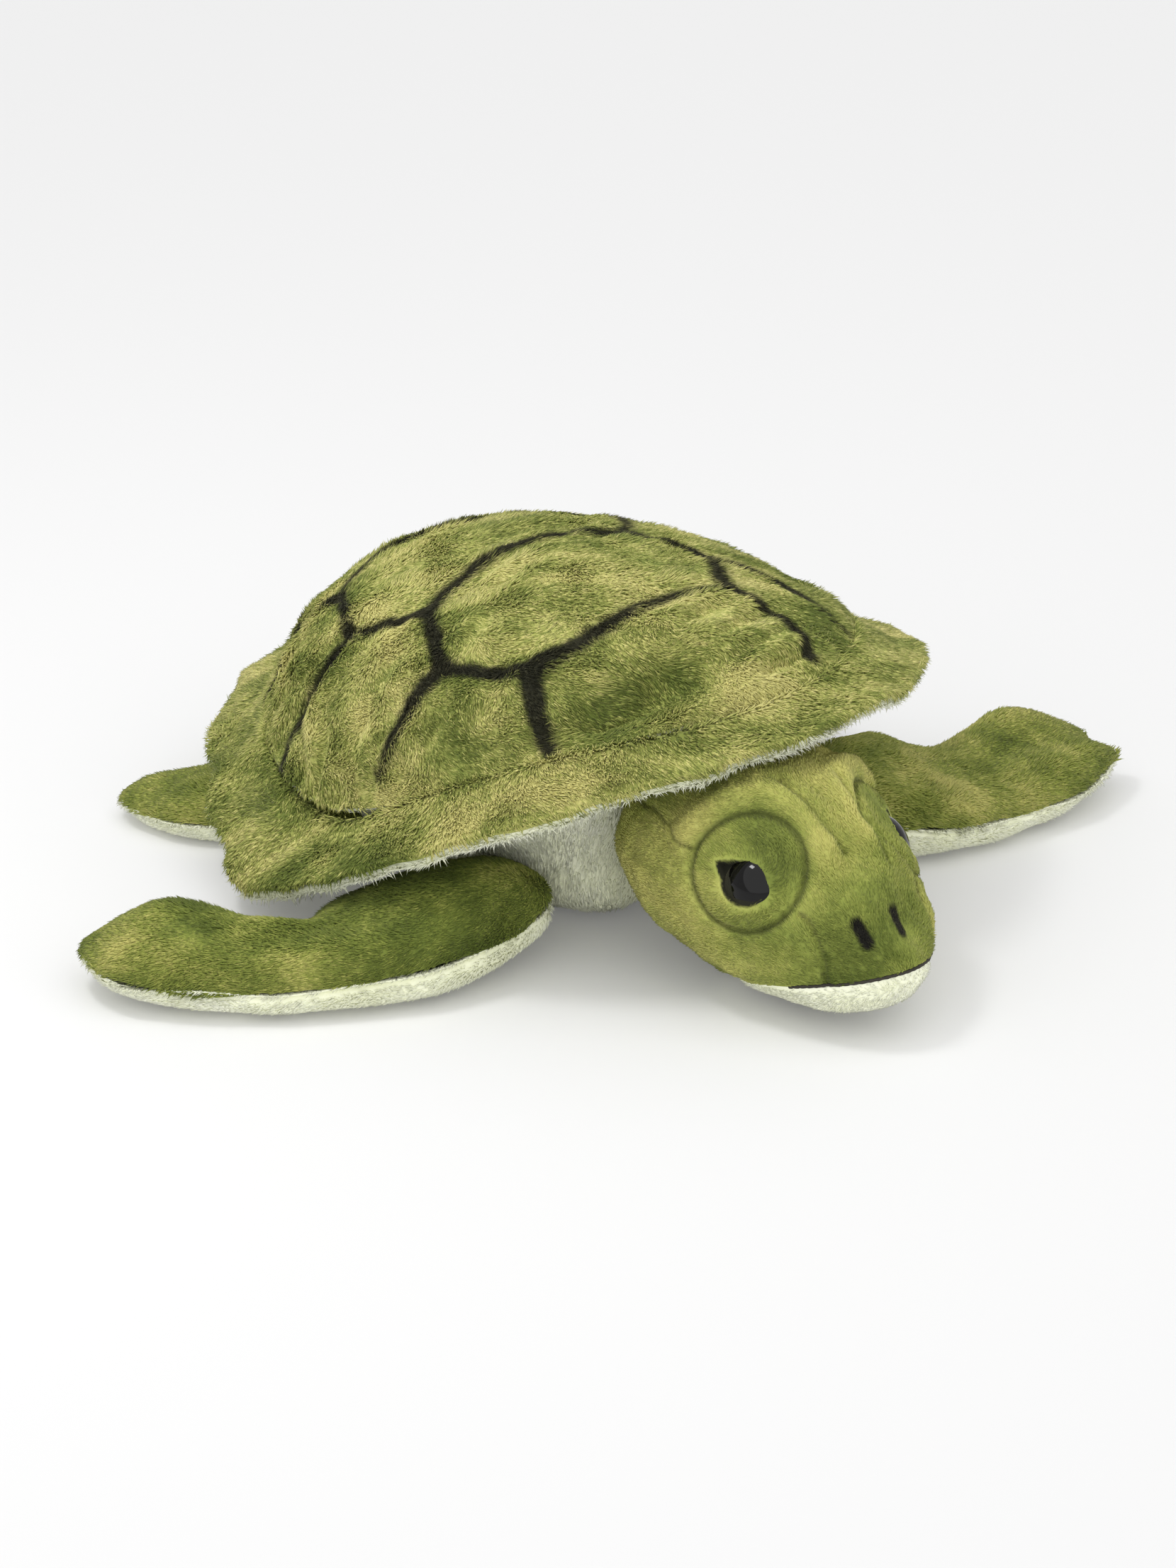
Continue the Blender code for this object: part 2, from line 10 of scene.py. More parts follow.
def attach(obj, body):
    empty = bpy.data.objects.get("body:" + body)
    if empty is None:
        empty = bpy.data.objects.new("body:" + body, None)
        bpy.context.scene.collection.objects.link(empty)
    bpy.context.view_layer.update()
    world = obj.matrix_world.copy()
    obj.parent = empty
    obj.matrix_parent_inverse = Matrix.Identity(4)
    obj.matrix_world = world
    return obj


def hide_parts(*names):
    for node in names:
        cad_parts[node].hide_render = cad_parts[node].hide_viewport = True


# A plush sea turtle: green and white plush skins with their pile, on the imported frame.
# Settings are in millimetres and degrees. It faces -Y, and its left side is +X.

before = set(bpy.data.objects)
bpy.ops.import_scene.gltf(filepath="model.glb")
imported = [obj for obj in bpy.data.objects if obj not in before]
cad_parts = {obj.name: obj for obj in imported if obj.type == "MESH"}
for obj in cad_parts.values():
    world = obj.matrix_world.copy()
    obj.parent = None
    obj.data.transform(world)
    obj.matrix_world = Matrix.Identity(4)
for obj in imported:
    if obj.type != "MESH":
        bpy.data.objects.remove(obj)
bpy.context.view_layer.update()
mm = 0.001


# Camera, as the photograph was taken

cameraView = {"bearing": -42, "height": 24, "distance": 780, "lens": 80, "sensor": 36,
              "aimRight": 6.7, "aimUp": 14.9}


def addCamera(view):
    turn, lift = radians(view["bearing"]), radians(view["height"])
    back = Vector((sin(turn) * cos(lift), -cos(turn) * cos(lift), sin(lift)))
    right = Vector((cos(turn), sin(turn), 0))
    up = back.cross(right)
    bpy.ops.object.camera_add(
        location=right * view["aimRight"] * mm + up * view["aimUp"] * mm + back * view["distance"] * mm)
    camera = bpy.context.active_object
    camera.rotation_euler = back.to_track_quat("Z", "Y").to_euler()
    camera.data.lens = view["lens"]
    camera.data.sensor_width = view["sensor"]
    bpy.context.scene.camera = camera


addCamera(cameraView)


# Shader nodes

def paint(red, green, blue):  # a colour as a screen shows it, 0 to 255, made linear
    shares = (red / 255, green / 255, blue / 255)
    return tuple(c / 12.92 if c < 0.04 else ((c + 0.055) / 1.055) ** 2.4 for c in shares) + (1,)


class Reading:  # a node's output, which adds Math nodes when it is used in an expression
    def __init__(self, finish, socket):
        self.finish = finish
        self.socket = socket

    def maths(self, operation, first, second=None, clamp=False):
        values = {0: first} if second is None else {0: first, 1: second}
        return self.finish.read("ShaderNodeMath", {"operation": operation, "use_clamp": clamp}, values)

    def __add__(self, other):
        return self.maths("ADD", self, other)

    def __radd__(self, other):
        return self.maths("ADD", other, self)

    def __sub__(self, other):
        return self.maths("SUBTRACT", self, other)

    def __rsub__(self, other):
        return self.maths("SUBTRACT", other, self)

    def __mul__(self, other):
        return self.maths("MULTIPLY", self, other)

    def __rmul__(self, other):
        return self.maths("MULTIPLY", other, self)

    def kept(self):  # held between 0 and 1
        return self.maths("ADD", self, 0, clamp=True)


class Finish:  # a material and its one way of adding nodes
    def __init__(self, name):
        self.material = bpy.data.materials.new(name)
        self.material.use_nodes = True
        self.nodes = self.material.node_tree.nodes
        self.links = self.material.node_tree.links
        self.nodes.clear()

    def node(self, kind, settings=None, sockets=None):
        made = self.nodes.new(kind)
        for key, value in (settings or {}).items():
            if key == "stops":
                self.setStops(made.color_ramp, value)
            else:
                setattr(made, key, value)
        for key, value in (sockets or {}).items():
            if isinstance(value, Reading):
                self.links.new(value.socket, made.inputs[key])
            elif isinstance(value, bpy.types.NodeSocket):
                self.links.new(value, made.inputs[key])
            else:
                made.inputs[key].default_value = value
        return made

    def setStops(self, ramp, stops):
        while len(ramp.elements) < len(stops):
            ramp.elements.new(0.5)
        for element, (position, colour) in zip(ramp.elements, stops):
            element.position = position
            element.color = colour

    def read(self, kind, settings=None, sockets=None, output=0):
        return Reading(self, self.node(kind, settings, sockets).outputs[output])

    def attribute(self, name):
        return self.read("ShaderNodeAttribute", {"attribute_name": name}, output="Fac")

    def noise(self, size, stretch=(1, 1, 1), turn=(0, 0, 0), detail=3, roughness=0.55):  # size in millimetres
        place = self.node("ShaderNodeTexCoord").outputs["Object"]
        turned = self.read("ShaderNodeMapping", {"vector_type": "TEXTURE"}, {
            "Vector": place, "Rotation": [radians(angle) for angle in turn], "Scale": stretch})
        return self.read("ShaderNodeTexNoise", None, {
            "Vector": turned, "Scale": 1 / (size * mm), "Detail": detail, "Roughness": roughness})

    def mixed(self, share, first, second):
        return self.read("ShaderNodeMix", {"data_type": "RGBA"}, {0: share, 6: first, 7: second}, output=2)

    def close(self, shader):
        self.node("ShaderNodeOutputMaterial", None, {"Surface": shader.outputs[0]})
        return self.material


# Plush: the colours of its patches, from deep to light, with painted shade darkening the pile towards its
# roots

plushKinds = {
    "green_plush_shell": {
        "stops": ((0.30, (100, 114, 48)), (0.43, (146, 154, 78)),
                  (0.54, (186, 188, 106)), (0.68, (226, 218, 142))),
        "root": (96, 106, 44), "patch": 11, "stretch": (2.0, 1.0, 1.0), "turn": (0, 0, -42), "fleck": 0.16,
        "sheen": 0.2, "sheenTint": (215, 212, 165)},
    "green_plush_head": {
        "stops": ((0.22, (92, 106, 42)), (0.42, (148, 158, 75)),
                  (0.56, (184, 186, 100)), (0.72, (212, 206, 122))),
        "root": (108, 118, 52), "patch": 17, "stretch": (1, 1.8, 1), "turn": (0, 0, -7), "fleck": 0.08,
        "sheen": 0.16, "sheenTint": (215, 212, 165)},
    "green_plush_flipper": {
        "stops": ((0.28, (88, 102, 38)), (0.44, (124, 136, 58)),
                  (0.56, (158, 164, 80)), (0.72, (206, 200, 118))),
        "root": (82, 92, 36), "patch": 15, "stretch": (1, 1, 1), "turn": (0, 0, 0), "fleck": 0.12,
        "sheen": 0.18, "sheenTint": (215, 212, 165)},
    "cream_plush": {
        "stops": ((0.30, (238, 240, 212)), (0.50, (244, 246, 222)), (0.70, (250, 251, 234))),
        "root": (230, 232, 200), "patch": 12, "stretch": (1, 1, 1), "turn": (0, 0, 0), "fleck": 0.05,
        "sheen": 0.15, "sheenTint": (250, 250, 240)},
}
# the black of the scute lines, seams and nostrils, also used for painted shade in the brow creases and around
# the eyes
inkAndShadeColour = (20, 19, 16)


def plushFinish(name, kind):
    finish = Finish(name)
    patches = finish.noise(kind["patch"], kind["stretch"], kind["turn"], detail=4)
    flecks = finish.noise(1.1, detail=2)
    tone = finish.attribute("tone")
    broad = finish.noise(kind["patch"] * 3, detail=1)
    ramp = patches + (broad - 0.5) * 0.45 + (flecks - 0.5) * kind["fleck"] + tone * kind["fleck"]
    # the paint attribute lightens or darkens the colour: painted light and painted shade, and on the head
    # also the darker green of the muzzle and patches
    ramp = ramp + finish.attribute("paint") * 0.2
    coloured = finish.read("ShaderNodeValToRGB", {
        "stops": [(place, paint(*colour)) for place, colour in kind["stops"]]}, {"Fac": ramp})
    # painted shade: the pile is darkened towards its roots, where shade falls deep inside it
    depth = (1 - finish.attribute("along")).kept()
    shaded = finish.mixed(depth * 0.7, coloured, paint(*kind["root"]))
    inkedAndShaded = finish.mixed(finish.attribute("ink"), shaded, paint(*inkAndShadeColour))
    weave = finish.noise(0.45, detail=1)
    bump = finish.node("ShaderNodeBump", None, {"Strength": 0.35, "Distance": 0.25 * mm, "Height": weave})
    shader = finish.node("ShaderNodeBsdfPrincipled", None, {
        "Base Color": inkedAndShaded, "Roughness": (0.78 + patches * 0.2).kept(), "Metallic": 0,
        "Sheen Weight": kind["sheen"], "Sheen Roughness": 0.45, "Sheen Tint": paint(*kind["sheenTint"]),
        "Specular IOR Level": 0.25, "Normal": bump.outputs[0]})
    return finish.close(shader)


plush = {name: plushFinish(name, kind) for name, kind in plushKinds.items()}
print("plush finishes made")


# Reading and writing meshes

def selectOnly(*pieces):
    if bpy.context.object and bpy.context.object.mode != "OBJECT":
        bpy.ops.object.mode_set(mode="OBJECT")
    bpy.ops.object.select_all(action="DESELECT")
    for piece in pieces:
        piece.select_set(True)
    bpy.context.view_layer.objects.active = pieces[0]


def modified(piece, kind, **settings):  # adds a modifier and applies it
    selectOnly(piece)
    bpy.ops.object.modifier_add(type=kind)
    modifier = piece.modifiers[-1]
    for key, value in settings.items():
        setattr(modifier, key, value)
    bpy.ops.object.modifier_apply(modifier=modifier.name)
    return piece


def places(mesh):
    flat = np.empty(len(mesh.vertices) * 3)
    mesh.vertices.foreach_get("co", flat)
    return flat.reshape(-1, 3)


def setPlaces(mesh, points):
    mesh.vertices.foreach_set("co", points.ravel())
    mesh.update()


def facings(mesh):
    flat = np.empty(len(mesh.vertices) * 3)
    mesh.vertex_normals.foreach_get("vector", flat)
    return flat.reshape(-1, 3)


def unit(vectors):
    return vectors / np.maximum(np.linalg.norm(vectors, axis=1, keepdims=True), 1e-9)


def step(low, high, values):  # a soft step from 0 at low to 1 at high
    share = np.clip((values - low) / (high - low), 0, 1)
    return share * share * (3 - 2 * share)


def ripple(points, size, seed, stretch=(1, 1, 1)):  # soft random hills about that size, near -1 to 1
    draw = np.random.default_rng(seed)
    spread = points / np.array(stretch)
    total = np.zeros(len(points))
    waves = 14
    for _ in range(waves):
        way = draw.normal(size=3)
        way *= 2 * np.pi / (size * mm) * draw.uniform(0.6, 1.3) / np.linalg.norm(way)
        total += np.sin(spread @ way + draw.uniform(0, 2 * np.pi))
    return total / np.sqrt(waves / 2)


def creased(mesh):  # holds the cut edges of a cloth wall in place when it is subdivided
    shape = bmesh.new()
    shape.from_mesh(mesh)
    layer = shape.edges.layers.float.get("crease_edge") or shape.edges.layers.float.new("crease_edge")
    for edge in shape.edges:
        if edge.calc_face_angle(0) > radians(56):
            edge[layer] = 0.85
    shape.to_mesh(mesh)
    shape.free()


def skinOf(names, newName, rounds, smooth=0):  # a smooth skin from copies of CAD nodes
    copies = []
    for name in names:
        copy = bpy.data.objects.new(newName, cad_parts[name].data.copy())
        copy.data.materials.clear()
        bpy.context.scene.collection.objects.link(copy)
        copies.append(copy)
    selectOnly(*copies)
    if len(copies) > 1:
        bpy.ops.object.join()
    skin = bpy.context.active_object
    skin.name = newName
    bpy.ops.object.mode_set(mode="EDIT")
    bpy.ops.mesh.select_all(action="SELECT")
    bpy.ops.mesh.remove_doubles(threshold=0.02 * mm)
    bpy.ops.mesh.tris_convert_to_quads(face_threshold=radians(60), shape_threshold=radians(60))
    bpy.ops.object.mode_set(mode="OBJECT")
    creased(skin.data)
    if rounds:
        modified(skin, "SUBSURF", levels=rounds, render_levels=rounds)
    if smooth:
        modified(skin, "SMOOTH", factor=0.5, iterations=smooth)
    skin.data.shade_smooth()
    return skin


def pushed(skin, middle, amount, hollow=True):  # moves both walls of a skin out from its middle together
    points, normals = places(skin.data), facings(skin.data)
    if hollow:
        inner = np.einsum("ij,ij->i", normals, points - np.array(middle) * mm) < 0
        normals[inner] *= -1
    setPlaces(skin.data, points + normals * (amount(points / mm, normals) * mm)[:, None])


# Pile: closed three-sided strands that lie along the nap

def addFloats(mesh, name, values):
    attribute = mesh.attributes.get(name) or mesh.attributes.new(name, "FLOAT", "POINT")
    attribute.data.foreach_set("value", np.asarray(values, np.float32))


def unwrapped(skin):
    selectOnly(skin)
    layer = skin.data.uv_layers.new(name="OFBake")
    skin.data.uv_layers.active = layer
    bpy.ops.object.mode_set(mode="EDIT")
    bpy.ops.mesh.select_all(action="SELECT")
    bpy.ops.uv.smart_project(angle_limit=radians(66), island_margin=0.001)
    bpy.ops.object.mode_set(mode="OBJECT")


def strandsOn(skin, pile, nap, keep, inkAndShadeOf, paintOf):
    mesh = skin.data
    mesh.calc_loop_triangles()
    corners = np.empty(len(mesh.loop_triangles) * 3, np.int64)
    mesh.loop_triangles.foreach_get("vertices", corners)
    corners = corners.reshape(-1, 3)
    loops = np.empty(len(corners) * 3, np.int64)
    mesh.loop_triangles.foreach_get("loops", loops)
    loops = loops.reshape(-1, 3)
    points, normals = places(mesh), facings(mesh)
    a, b, c = points[corners[:, 0]], points[corners[:, 1]], points[corners[:, 2]]
    areas = np.linalg.norm(np.cross(b - a, c - a), axis=1) / 2
    centres = (a + b + c) / 3
    weight = areas * np.clip(keep(centres / mm, unit(np.cross(b - a, c - a))), 0, 1)
    draw = np.random.default_rng(pile["seed"])
    count = int(weight.sum() / mm**2 * pile["perSquare"])
    chosen = draw.choice(len(corners), size=count, p=weight / weight.sum())
    share = draw.random((count, 2))
    over = share.sum(axis=1) > 1
    share[over] = 1 - share[over]
    shares = np.column_stack((1 - share.sum(axis=1), share))
    roots = np.einsum("ij,ijk->ik", shares, points[corners[chosen]])
    up = unit(np.einsum("ij,ijk->ik", shares, normals[corners[chosen]]))
    lie = nap(roots / mm, up)
    lie += pile["swirl"] * np.column_stack([ripple(roots, 16, pile["seed"] + k) for k in (1, 2, 3)])
    lie += pile["loose"] * draw.normal(size=(count, 3))
    lie -= up * np.einsum("ij,ij->i", lie, up)[:, None]
    lie = unit(lie)
    lift = pile["lift"] * (1 + 0.35 * ripple(roots, 12, pile["seed"] + 4)) * draw.uniform(0.6, 1.4, count)
    way = unit(lie * np.cos(lift)[:, None] + up * np.sin(lift)[:, None])
    length = pile["length"] * mm * draw.uniform(0.65, 1.15, count) * (0.45 + 0.55 * keep(roots / mm, up))
    across = unit(np.cross(way, up))
    half = pile["width"] * mm / 2 * draw.uniform(0.8, 1.2, count)
    sunk = roots - up * 0.15 * mm
    verts = np.empty((count, 4, 3))
    verts[:, 0] = sunk + across * half[:, None]
    verts[:, 1] = sunk - across * half[:, None]
    verts[:, 2] = roots + up * (half * 0.9)[:, None] + way * (length * 0.25)[:, None]
    verts[:, 3] = roots + way * length[:, None]
    verts[:, :, 2] = np.maximum(verts[:, :, 2], 0.15 * mm)
    faces = np.array(((0, 1, 2), (0, 2, 3), (1, 3, 2), (0, 3, 1)))
    sides = verts[:, faces]
    volume = np.einsum("ijk,ijk->ij", sides[:, :, 0], np.cross(sides[:, :, 1], sides[:, :, 2])).sum(axis=1)
    if np.median(volume) < 0:  # the strands' faces turn outwards
        faces = faces[:, ::-1]
    table = (np.arange(count) * 4)[:, None, None] + faces
    made = bpy.data.meshes.new(skin.name + "_pile")
    made.vertices.add(count * 4)
    made.vertices.foreach_set("co", verts.ravel())
    made.loops.add(count * 12)
    made.loops.foreach_set("vertex_index", table.ravel().astype(np.int32))
    made.polygons.add(count * 4)
    made.polygons.foreach_set("loop_start", np.arange(count * 4, dtype=np.int32) * 3)
    made.update(calc_edges=True)
    made.shade_smooth()
    tone = draw.normal(size=count) * 0.5
    addFloats(made, "tone", np.repeat(tone, 4))
    addFloats(made, "along", np.tile((0.3, 0.3, 0.8, 1.0), count))
    addFloats(made, "ink", inkAndShadeOf(verts.reshape(-1, 3) / mm))
    addFloats(made, "paint", np.repeat(paintOf(roots / mm), 4))
    if mesh.uv_layers:
        flat = np.empty(len(mesh.loops) * 2)
        mesh.uv_layers["OFBake"].data.foreach_get("uv", flat)
        spots = np.einsum("ij,ijk->ik", shares, flat.reshape(-1, 2)[loops[chosen]])
        layer = made.uv_layers.new(name="OFBake")
        layer.data.foreach_set("uv", np.repeat(spots, 12, axis=0).ravel())
    pileObject = bpy.data.objects.new(made.name, made)
    bpy.context.scene.collection.objects.link(pileObject)
    return pileObject


def plain(points):
    return np.zeros(len(points))


def dressed(skin, finish, pile, nap, keep, inkAndShadeOf=plain, paintOf=plain):
    unwrapped(skin)
    points = places(skin.data)
    addFloats(skin.data, "tone", np.zeros(len(points)))
    # the skin between the strands takes part of the painted root shade
    addFloats(skin.data, "along", np.full(len(points), 0.5))
    addFloats(skin.data, "ink", inkAndShadeOf(points / mm))
    addFloats(skin.data, "paint", paintOf(points / mm))
    strands = strandsOn(skin, pile, nap, keep, inkAndShadeOf, paintOf)
    selectOnly(skin, strands)
    bpy.ops.object.join()
    skin.data.materials.clear()
    skin.data.materials.append(plush[finish])
    print(skin.name, "dressed:", len(skin.data.polygons), "faces")
    return skin


def worn(piece, body, slot, fill, *nodes):
    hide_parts(*nodes)
    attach(piece, body)


def alongLine(points):  # a smooth line through points, about every millimetre
    points = [Vector(point) for point in points]
    row = [points[0] * 2 - points[1]] + points + [points[-1] * 2 - points[-2]]
    line = []
    for k in range(1, len(row) - 2):
        before, start, end, after = row[k - 1:k + 3]
        count = max(2, int((end - start).length / 0.8))
        for t in np.linspace(0, 1, count, endpoint=False):
            bend = (2 * before - 5 * start + 4 * end - after) * t * t
            line.append(0.5 * ((2 * start) + (end - before) * t + bend
                               + (3 * start - before - 3 * end + after) * t**3))
    line.append(points[-1])
    return line


def nearest(points, line, widths):  # distance to a line's side, with its own half width along it
    line = np.array(line)
    half = np.asarray(widths) / 2
    least = np.full(len(points), 1e3)
    for start in range(0, len(points), 20000):
        part = points[start:start + 20000]
        apart = np.sqrt(np.maximum(0, (part**2).sum(1)[:, None] + (line**2).sum(1)[None] - 2 * part @ line.T))
        least[start:start + 20000] = (apart - half[None]).min(axis=1)
    return least


shellHalf = (62, 71)  # the dome's half width and half length at its crease


def fromMiddle(points):  # 1 at the crease, in shares of the shell
    return np.hypot(points[:, 0] / shellHalf[0], points[:, 1] / shellHalf[1])


def outward(points):
    level = np.zeros(len(points))
    return unit(np.column_stack((points[:, 0] / shellHalf[0], points[:, 1] / shellHalf[1], level)))


def meeting(points, node, reach):  # 1 where points meet a node, and 0 beyond the reach
    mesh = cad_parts[node].data
    corners = [tuple(face.vertices) for face in mesh.polygons]
    tree = BVHTree.FromPolygons([vertex.co for vertex in mesh.vertices], corners)
    apart = np.array([tree.find_nearest(Vector(point))[3] for point in points]) / mm
    return (1 - step(0.5, reach, apart))[:, None]


# Shell: the dome

# The dent and the ridge are bars: each has a middle, a way, and how far it reaches along and across
dome = {"rounds": 3, "middle": (0, 0, 30), "lumps": 0.3, "dent": 6.2, "ridge": 2.2, "wrinkle": 0.8,
        "folds": 34, "creases": 0.42, "soft": 0.5, "dentBar": ((-26, -53, 60), (28, -3.6, 9.6), 18, 7),
        "ridgeBar": ((-15, -61, 55), (24, -2, 7), 17, 4.5), "pale": ((-46, 8, 51), 18)}
domePile = {"seed": 11, "perSquare": 5.5, "length": 2.4, "width": 0.42, "lift": 0.36, "swirl": 0.32,
            "loose": 0.2}

# The scute seams, drawn with soft black: points across and along the shell, with the line's widths
scuteLines = (
    (((13, -40), (4.7, -36.6), (-7, -35), (-16.8, -35), (-26.2, -34.6), (-32.5, -34), (-36.3, -33.4)),
     (1.6, 2.6, 4.0)),
    (((-36.3, -33.4), (-38.5, -28.9), (-40.5, -22.4), (-43.5, -13.7)), (3.6, 1.9, 3.4)),
    (((-43.5, -13.7), (-40.3, -7.9), (-36.2, -1.4), (-32.8, 3.6)), (3.4, 2.4, 2.8)),
    (((-32.8, 3.6), (-26.6, 5.6), (-17.4, 6.9), (-9.4, 6.9), (-1.3, 4.7), (7.1, 2.6), (18.7, -0.5)),
     (2.8, 2.2, 1.2)),
    (((18.7, -0.5), (21, -7), (22.2, -16), (22.4, -24.5)), (1.6, 1.9, 2.4)),
    (((22.4, -24.5), (18.2, -31.1), (13, -40)), (2.4, 2.8, 2.6)),
    (((22.4, -24.5), (26.3, -28), (29, -34), (30, -42), (31, -52)), (2.4, 1.7, 1.1)),
    (((13, -40), (14.3, -45), (16, -52), (16.4, -58), (14.5, -63)), (1.6, 1.3, 2.4)),
    (((18.7, -0.5), (24, 4), (30, 12)), (2.4, 2.0, 2.4)),
    (((30, 12), (24, 21), (15, 28)), (2.4, 2.0, 2.4)),
    (((-40, 21), (-36, 28), (-30.7, 36), (-22, 42), (-10, 43), (2, 38), (15, 28)), (1.9, 2.0, 2.6)),
    (((-32.8, 3.6), (-34.4, 7.3), (-37, 12), (-40, 21)), (2.6, 1.8, 2.8)),
    (((-40, 21), (-44, 22.5), (-48, 24), (-51, 26), (-54, 27), (-56.5, 27.5)), (3.2, 2.4, 1.2)),
    (((-43.5, -13.7), (-47.3, -11.8), (-51.2, -11.2), (-54.4, -10.7), (-57.8, -9.8)), (3.8, 2.8, 1.0)),
    (((-36.3, -33.4), (-39.5, -37.7), (-41.7, -41.9), (-42.5, -44.7), (-42.6, -45.7)), (4.0, 3.2, 2.6)),
    (((30, 12), (39, 15), (48, 18), (56, 20)), (2.6, 2.0, 1.2)),
    (((31, -52), (32, -56)), (1.1, 1.0)),
    (((-30.7, 36), (-31, 42), (-33, 48)), (2.4, 2.0, 2.6)),
    (((-33, 48), (-28, 54), (-19, 59)), (2.4, 1.8, 2.2)),
    (((-33, 48), (-39, 51), (-44, 54)), (2.6, 2.0, 1.4)),
    (((15, 28), (17, 38), (18, 47)), (2.6, 2.0, 2.4)),
    (((18, 47), (10, 56), (1, 60)), (2.4, 1.8, 2.2)),
    (((18, 47), (28, 51), (36, 55)), (2.4, 2.0, 1.4)),
    (((-19, 59), (-9, 61), (1, 60)), (2.2, 1.8, 2.2)),
    (((-19, 59), (-21, 63), (-22, 67)), (2.2, 1.8, 1.4)),
    (((1, 60), (3, 64), (4, 68)), (2.2, 1.8, 1.4)),
)


def onSkin(skin, across, along):  # the skin's own point over a place on the floor
    tree = BVHTree.FromObject(skin, bpy.context.evaluated_depsgraph_get())
    found = tree.ray_cast(Vector((across * mm, along * mm, 0.2)), Vector((0, 0, -1)))[0]
    return found or tree.find_nearest(Vector((across * mm, along * mm, 28 * mm)))[0]


def bar(points, middle, slant, reach, width):  # 1 along a soft bar at a place, and 0 away from it
    slant = np.array(slant) / np.linalg.norm(slant)
    away = points - np.array(middle)
    run = away @ slant
    side = np.linalg.norm(away - run[:, None] * slant, axis=1)
    return np.exp(-(run / reach) ** 4) * np.exp(-(side / width) ** 2)


def dentBar(points):  # the soft hollow over the front, and the roll under it
    return bar(points, *dome["dentBar"])


def ridgeBar(points):
    return bar(points, *dome["ridgeBar"])


def spot(points, middle, spread):  # 1 at a place, and 0 away from it
    return np.exp(-(np.linalg.norm(points - np.array(middle), axis=1) / spread) ** 2)


# painted light on the ridge and a pale spot of painted light on the dome's left side, and painted shade in
# the dent
def domePaintedLightAndShade(points):
    return 0.8 * ridgeBar(points) - 1.5 * dentBar(points) + 0.6 * spot(points, *dome["pale"])


def domeAmount(points, normals):
    x, y, z = points.T
    wander = ripple(points * mm, 34, 3) * dome["lumps"] + ripple(points * mm, 15, 4) * dome["lumps"] * 0.45
    dent, ridge = -dome["dent"] * dentBar(points), dome["ridge"] * ridgeBar(points)
    creases = dome["creases"] * ripple(points * mm, 7.5, 5, (3.4, 1, 1))
    creases *= 0.5 + 0.5 * ripple(points * mm, 30, 7)
    creases *= 1 - 0.75 * step(8, 30, x)
    fold = np.sin(np.arctan2(y, x) * dome["folds"] + ripple(points * mm, 30, 6) * 2) * dome["wrinkle"]
    fold *= step(-0.2, 0.75, -x / 60) * step(-20, 10, y) * (1 - step(44, 58, z))
    return wander + dent + ridge + fold + creases


domeSkin = skinOf(["dome_cover"], "dome_plush", dome["rounds"])
domeBefore = places(domeSkin.data)
modified(domeSkin, "SMOOTH", factor=0.5, iterations=4)
pushed(domeSkin, dome["middle"], domeAmount)
held = meeting(domeBefore, "rim_cover", 6)  # its foot stays on the rim, and spreads over the seam
setPlaces(domeSkin.data, domeBefore * held + places(domeSkin.data) * (1 - held)
          + (outward(domeBefore) * 1.1 - np.array((0, 0, 0.7))) * held**2 * mm)
scuteDrawn = []
for run, widths in scuteLines:
    line = alongLine([onSkin(domeSkin, *place) / mm for place in run])
    along = np.linspace(0, 1, len(line))
    scuteDrawn.append((line, np.interp(along, np.linspace(0, 1, len(widths)), widths)))
scuteLine = [point for line, _ in scuteDrawn for point in line]
scuteWidth = np.concatenate([widths for _, widths in scuteDrawn])


def scuteInk(points):
    apart = nearest(points, scuteLine, scuteWidth) + ripple(points * mm, 5, 21) * 0.15
    return (1 - step(-0.1, dome["soft"] + 0.5, apart - 0.35)) * 0.97


def shellNap(points, normals):
    return np.tile((0.25, -0.85, -0.35), (len(points), 1))


def domeKeep(points, normals):
    return (np.einsum("ij,ij->i", normals, points - np.array(dome["middle"])) > 0) * 1.0


dressed(domeSkin, "green_plush_shell", domePile, shellNap, domeKeep, scuteInk, domePaintedLightAndShade)
worn(domeSkin, "torso", "green_plush", 0.8, "dome_cover", "body_filling")


# Shell: the rim and its white lining

rim = {"rounds": 2, "wave": 0.7, "drawnIn": 1.4, "shade": ((-79, 0, 26), 24)}
rimPile = {"seed": 31, "perSquare": 5.5, "length": 2.4, "width": 0.42, "lift": 0.36, "swirl": 0.3,
           "loose": 0.22}
liningPile = {"seed": 41, "perSquare": 3.4, "length": 2.6, "width": 0.42, "lift": 0.30, "swirl": 0.3,
              "loose": 0.3}


def rimAmount(points):  # how far the rim is lifted at a place
    wander = ripple(points * mm, 26, 8) * rim["wave"] + ripple(points * mm, 11, 9) * rim["wave"] * 0.4
    return wander * step(1.0, 1.12, fromMiddle(points))


def waved(skin, drawnIn=0):
    points = places(skin.data)
    drawn = drawnIn * mm * step(1.03, 1.14, fromMiddle(points / mm))
    points -= outward(points) * drawn[:, None]
    flat = points.copy()
    flat[:, 2] = 0
    points[:, 2] += rimAmount(flat / mm) * mm
    setPlaces(skin.data, points)


def rimNap(points, normals):
    return outward(points) + np.array((0.15, -0.45, -0.2))


def rimKeep(points, normals):
    return (normals[:, 2] > -0.15) * 1.0


def liningNap(points, normals):
    return outward(points) + np.array((0, 0, -0.25))


def liningKeep(points, normals):
    return (normals[:, 2] < 0.3) * step(1.02, 1.06, fromMiddle(points))


rimSkin = skinOf(["rim_cover"], "rim_plush", rim["rounds"])
waved(rimSkin)
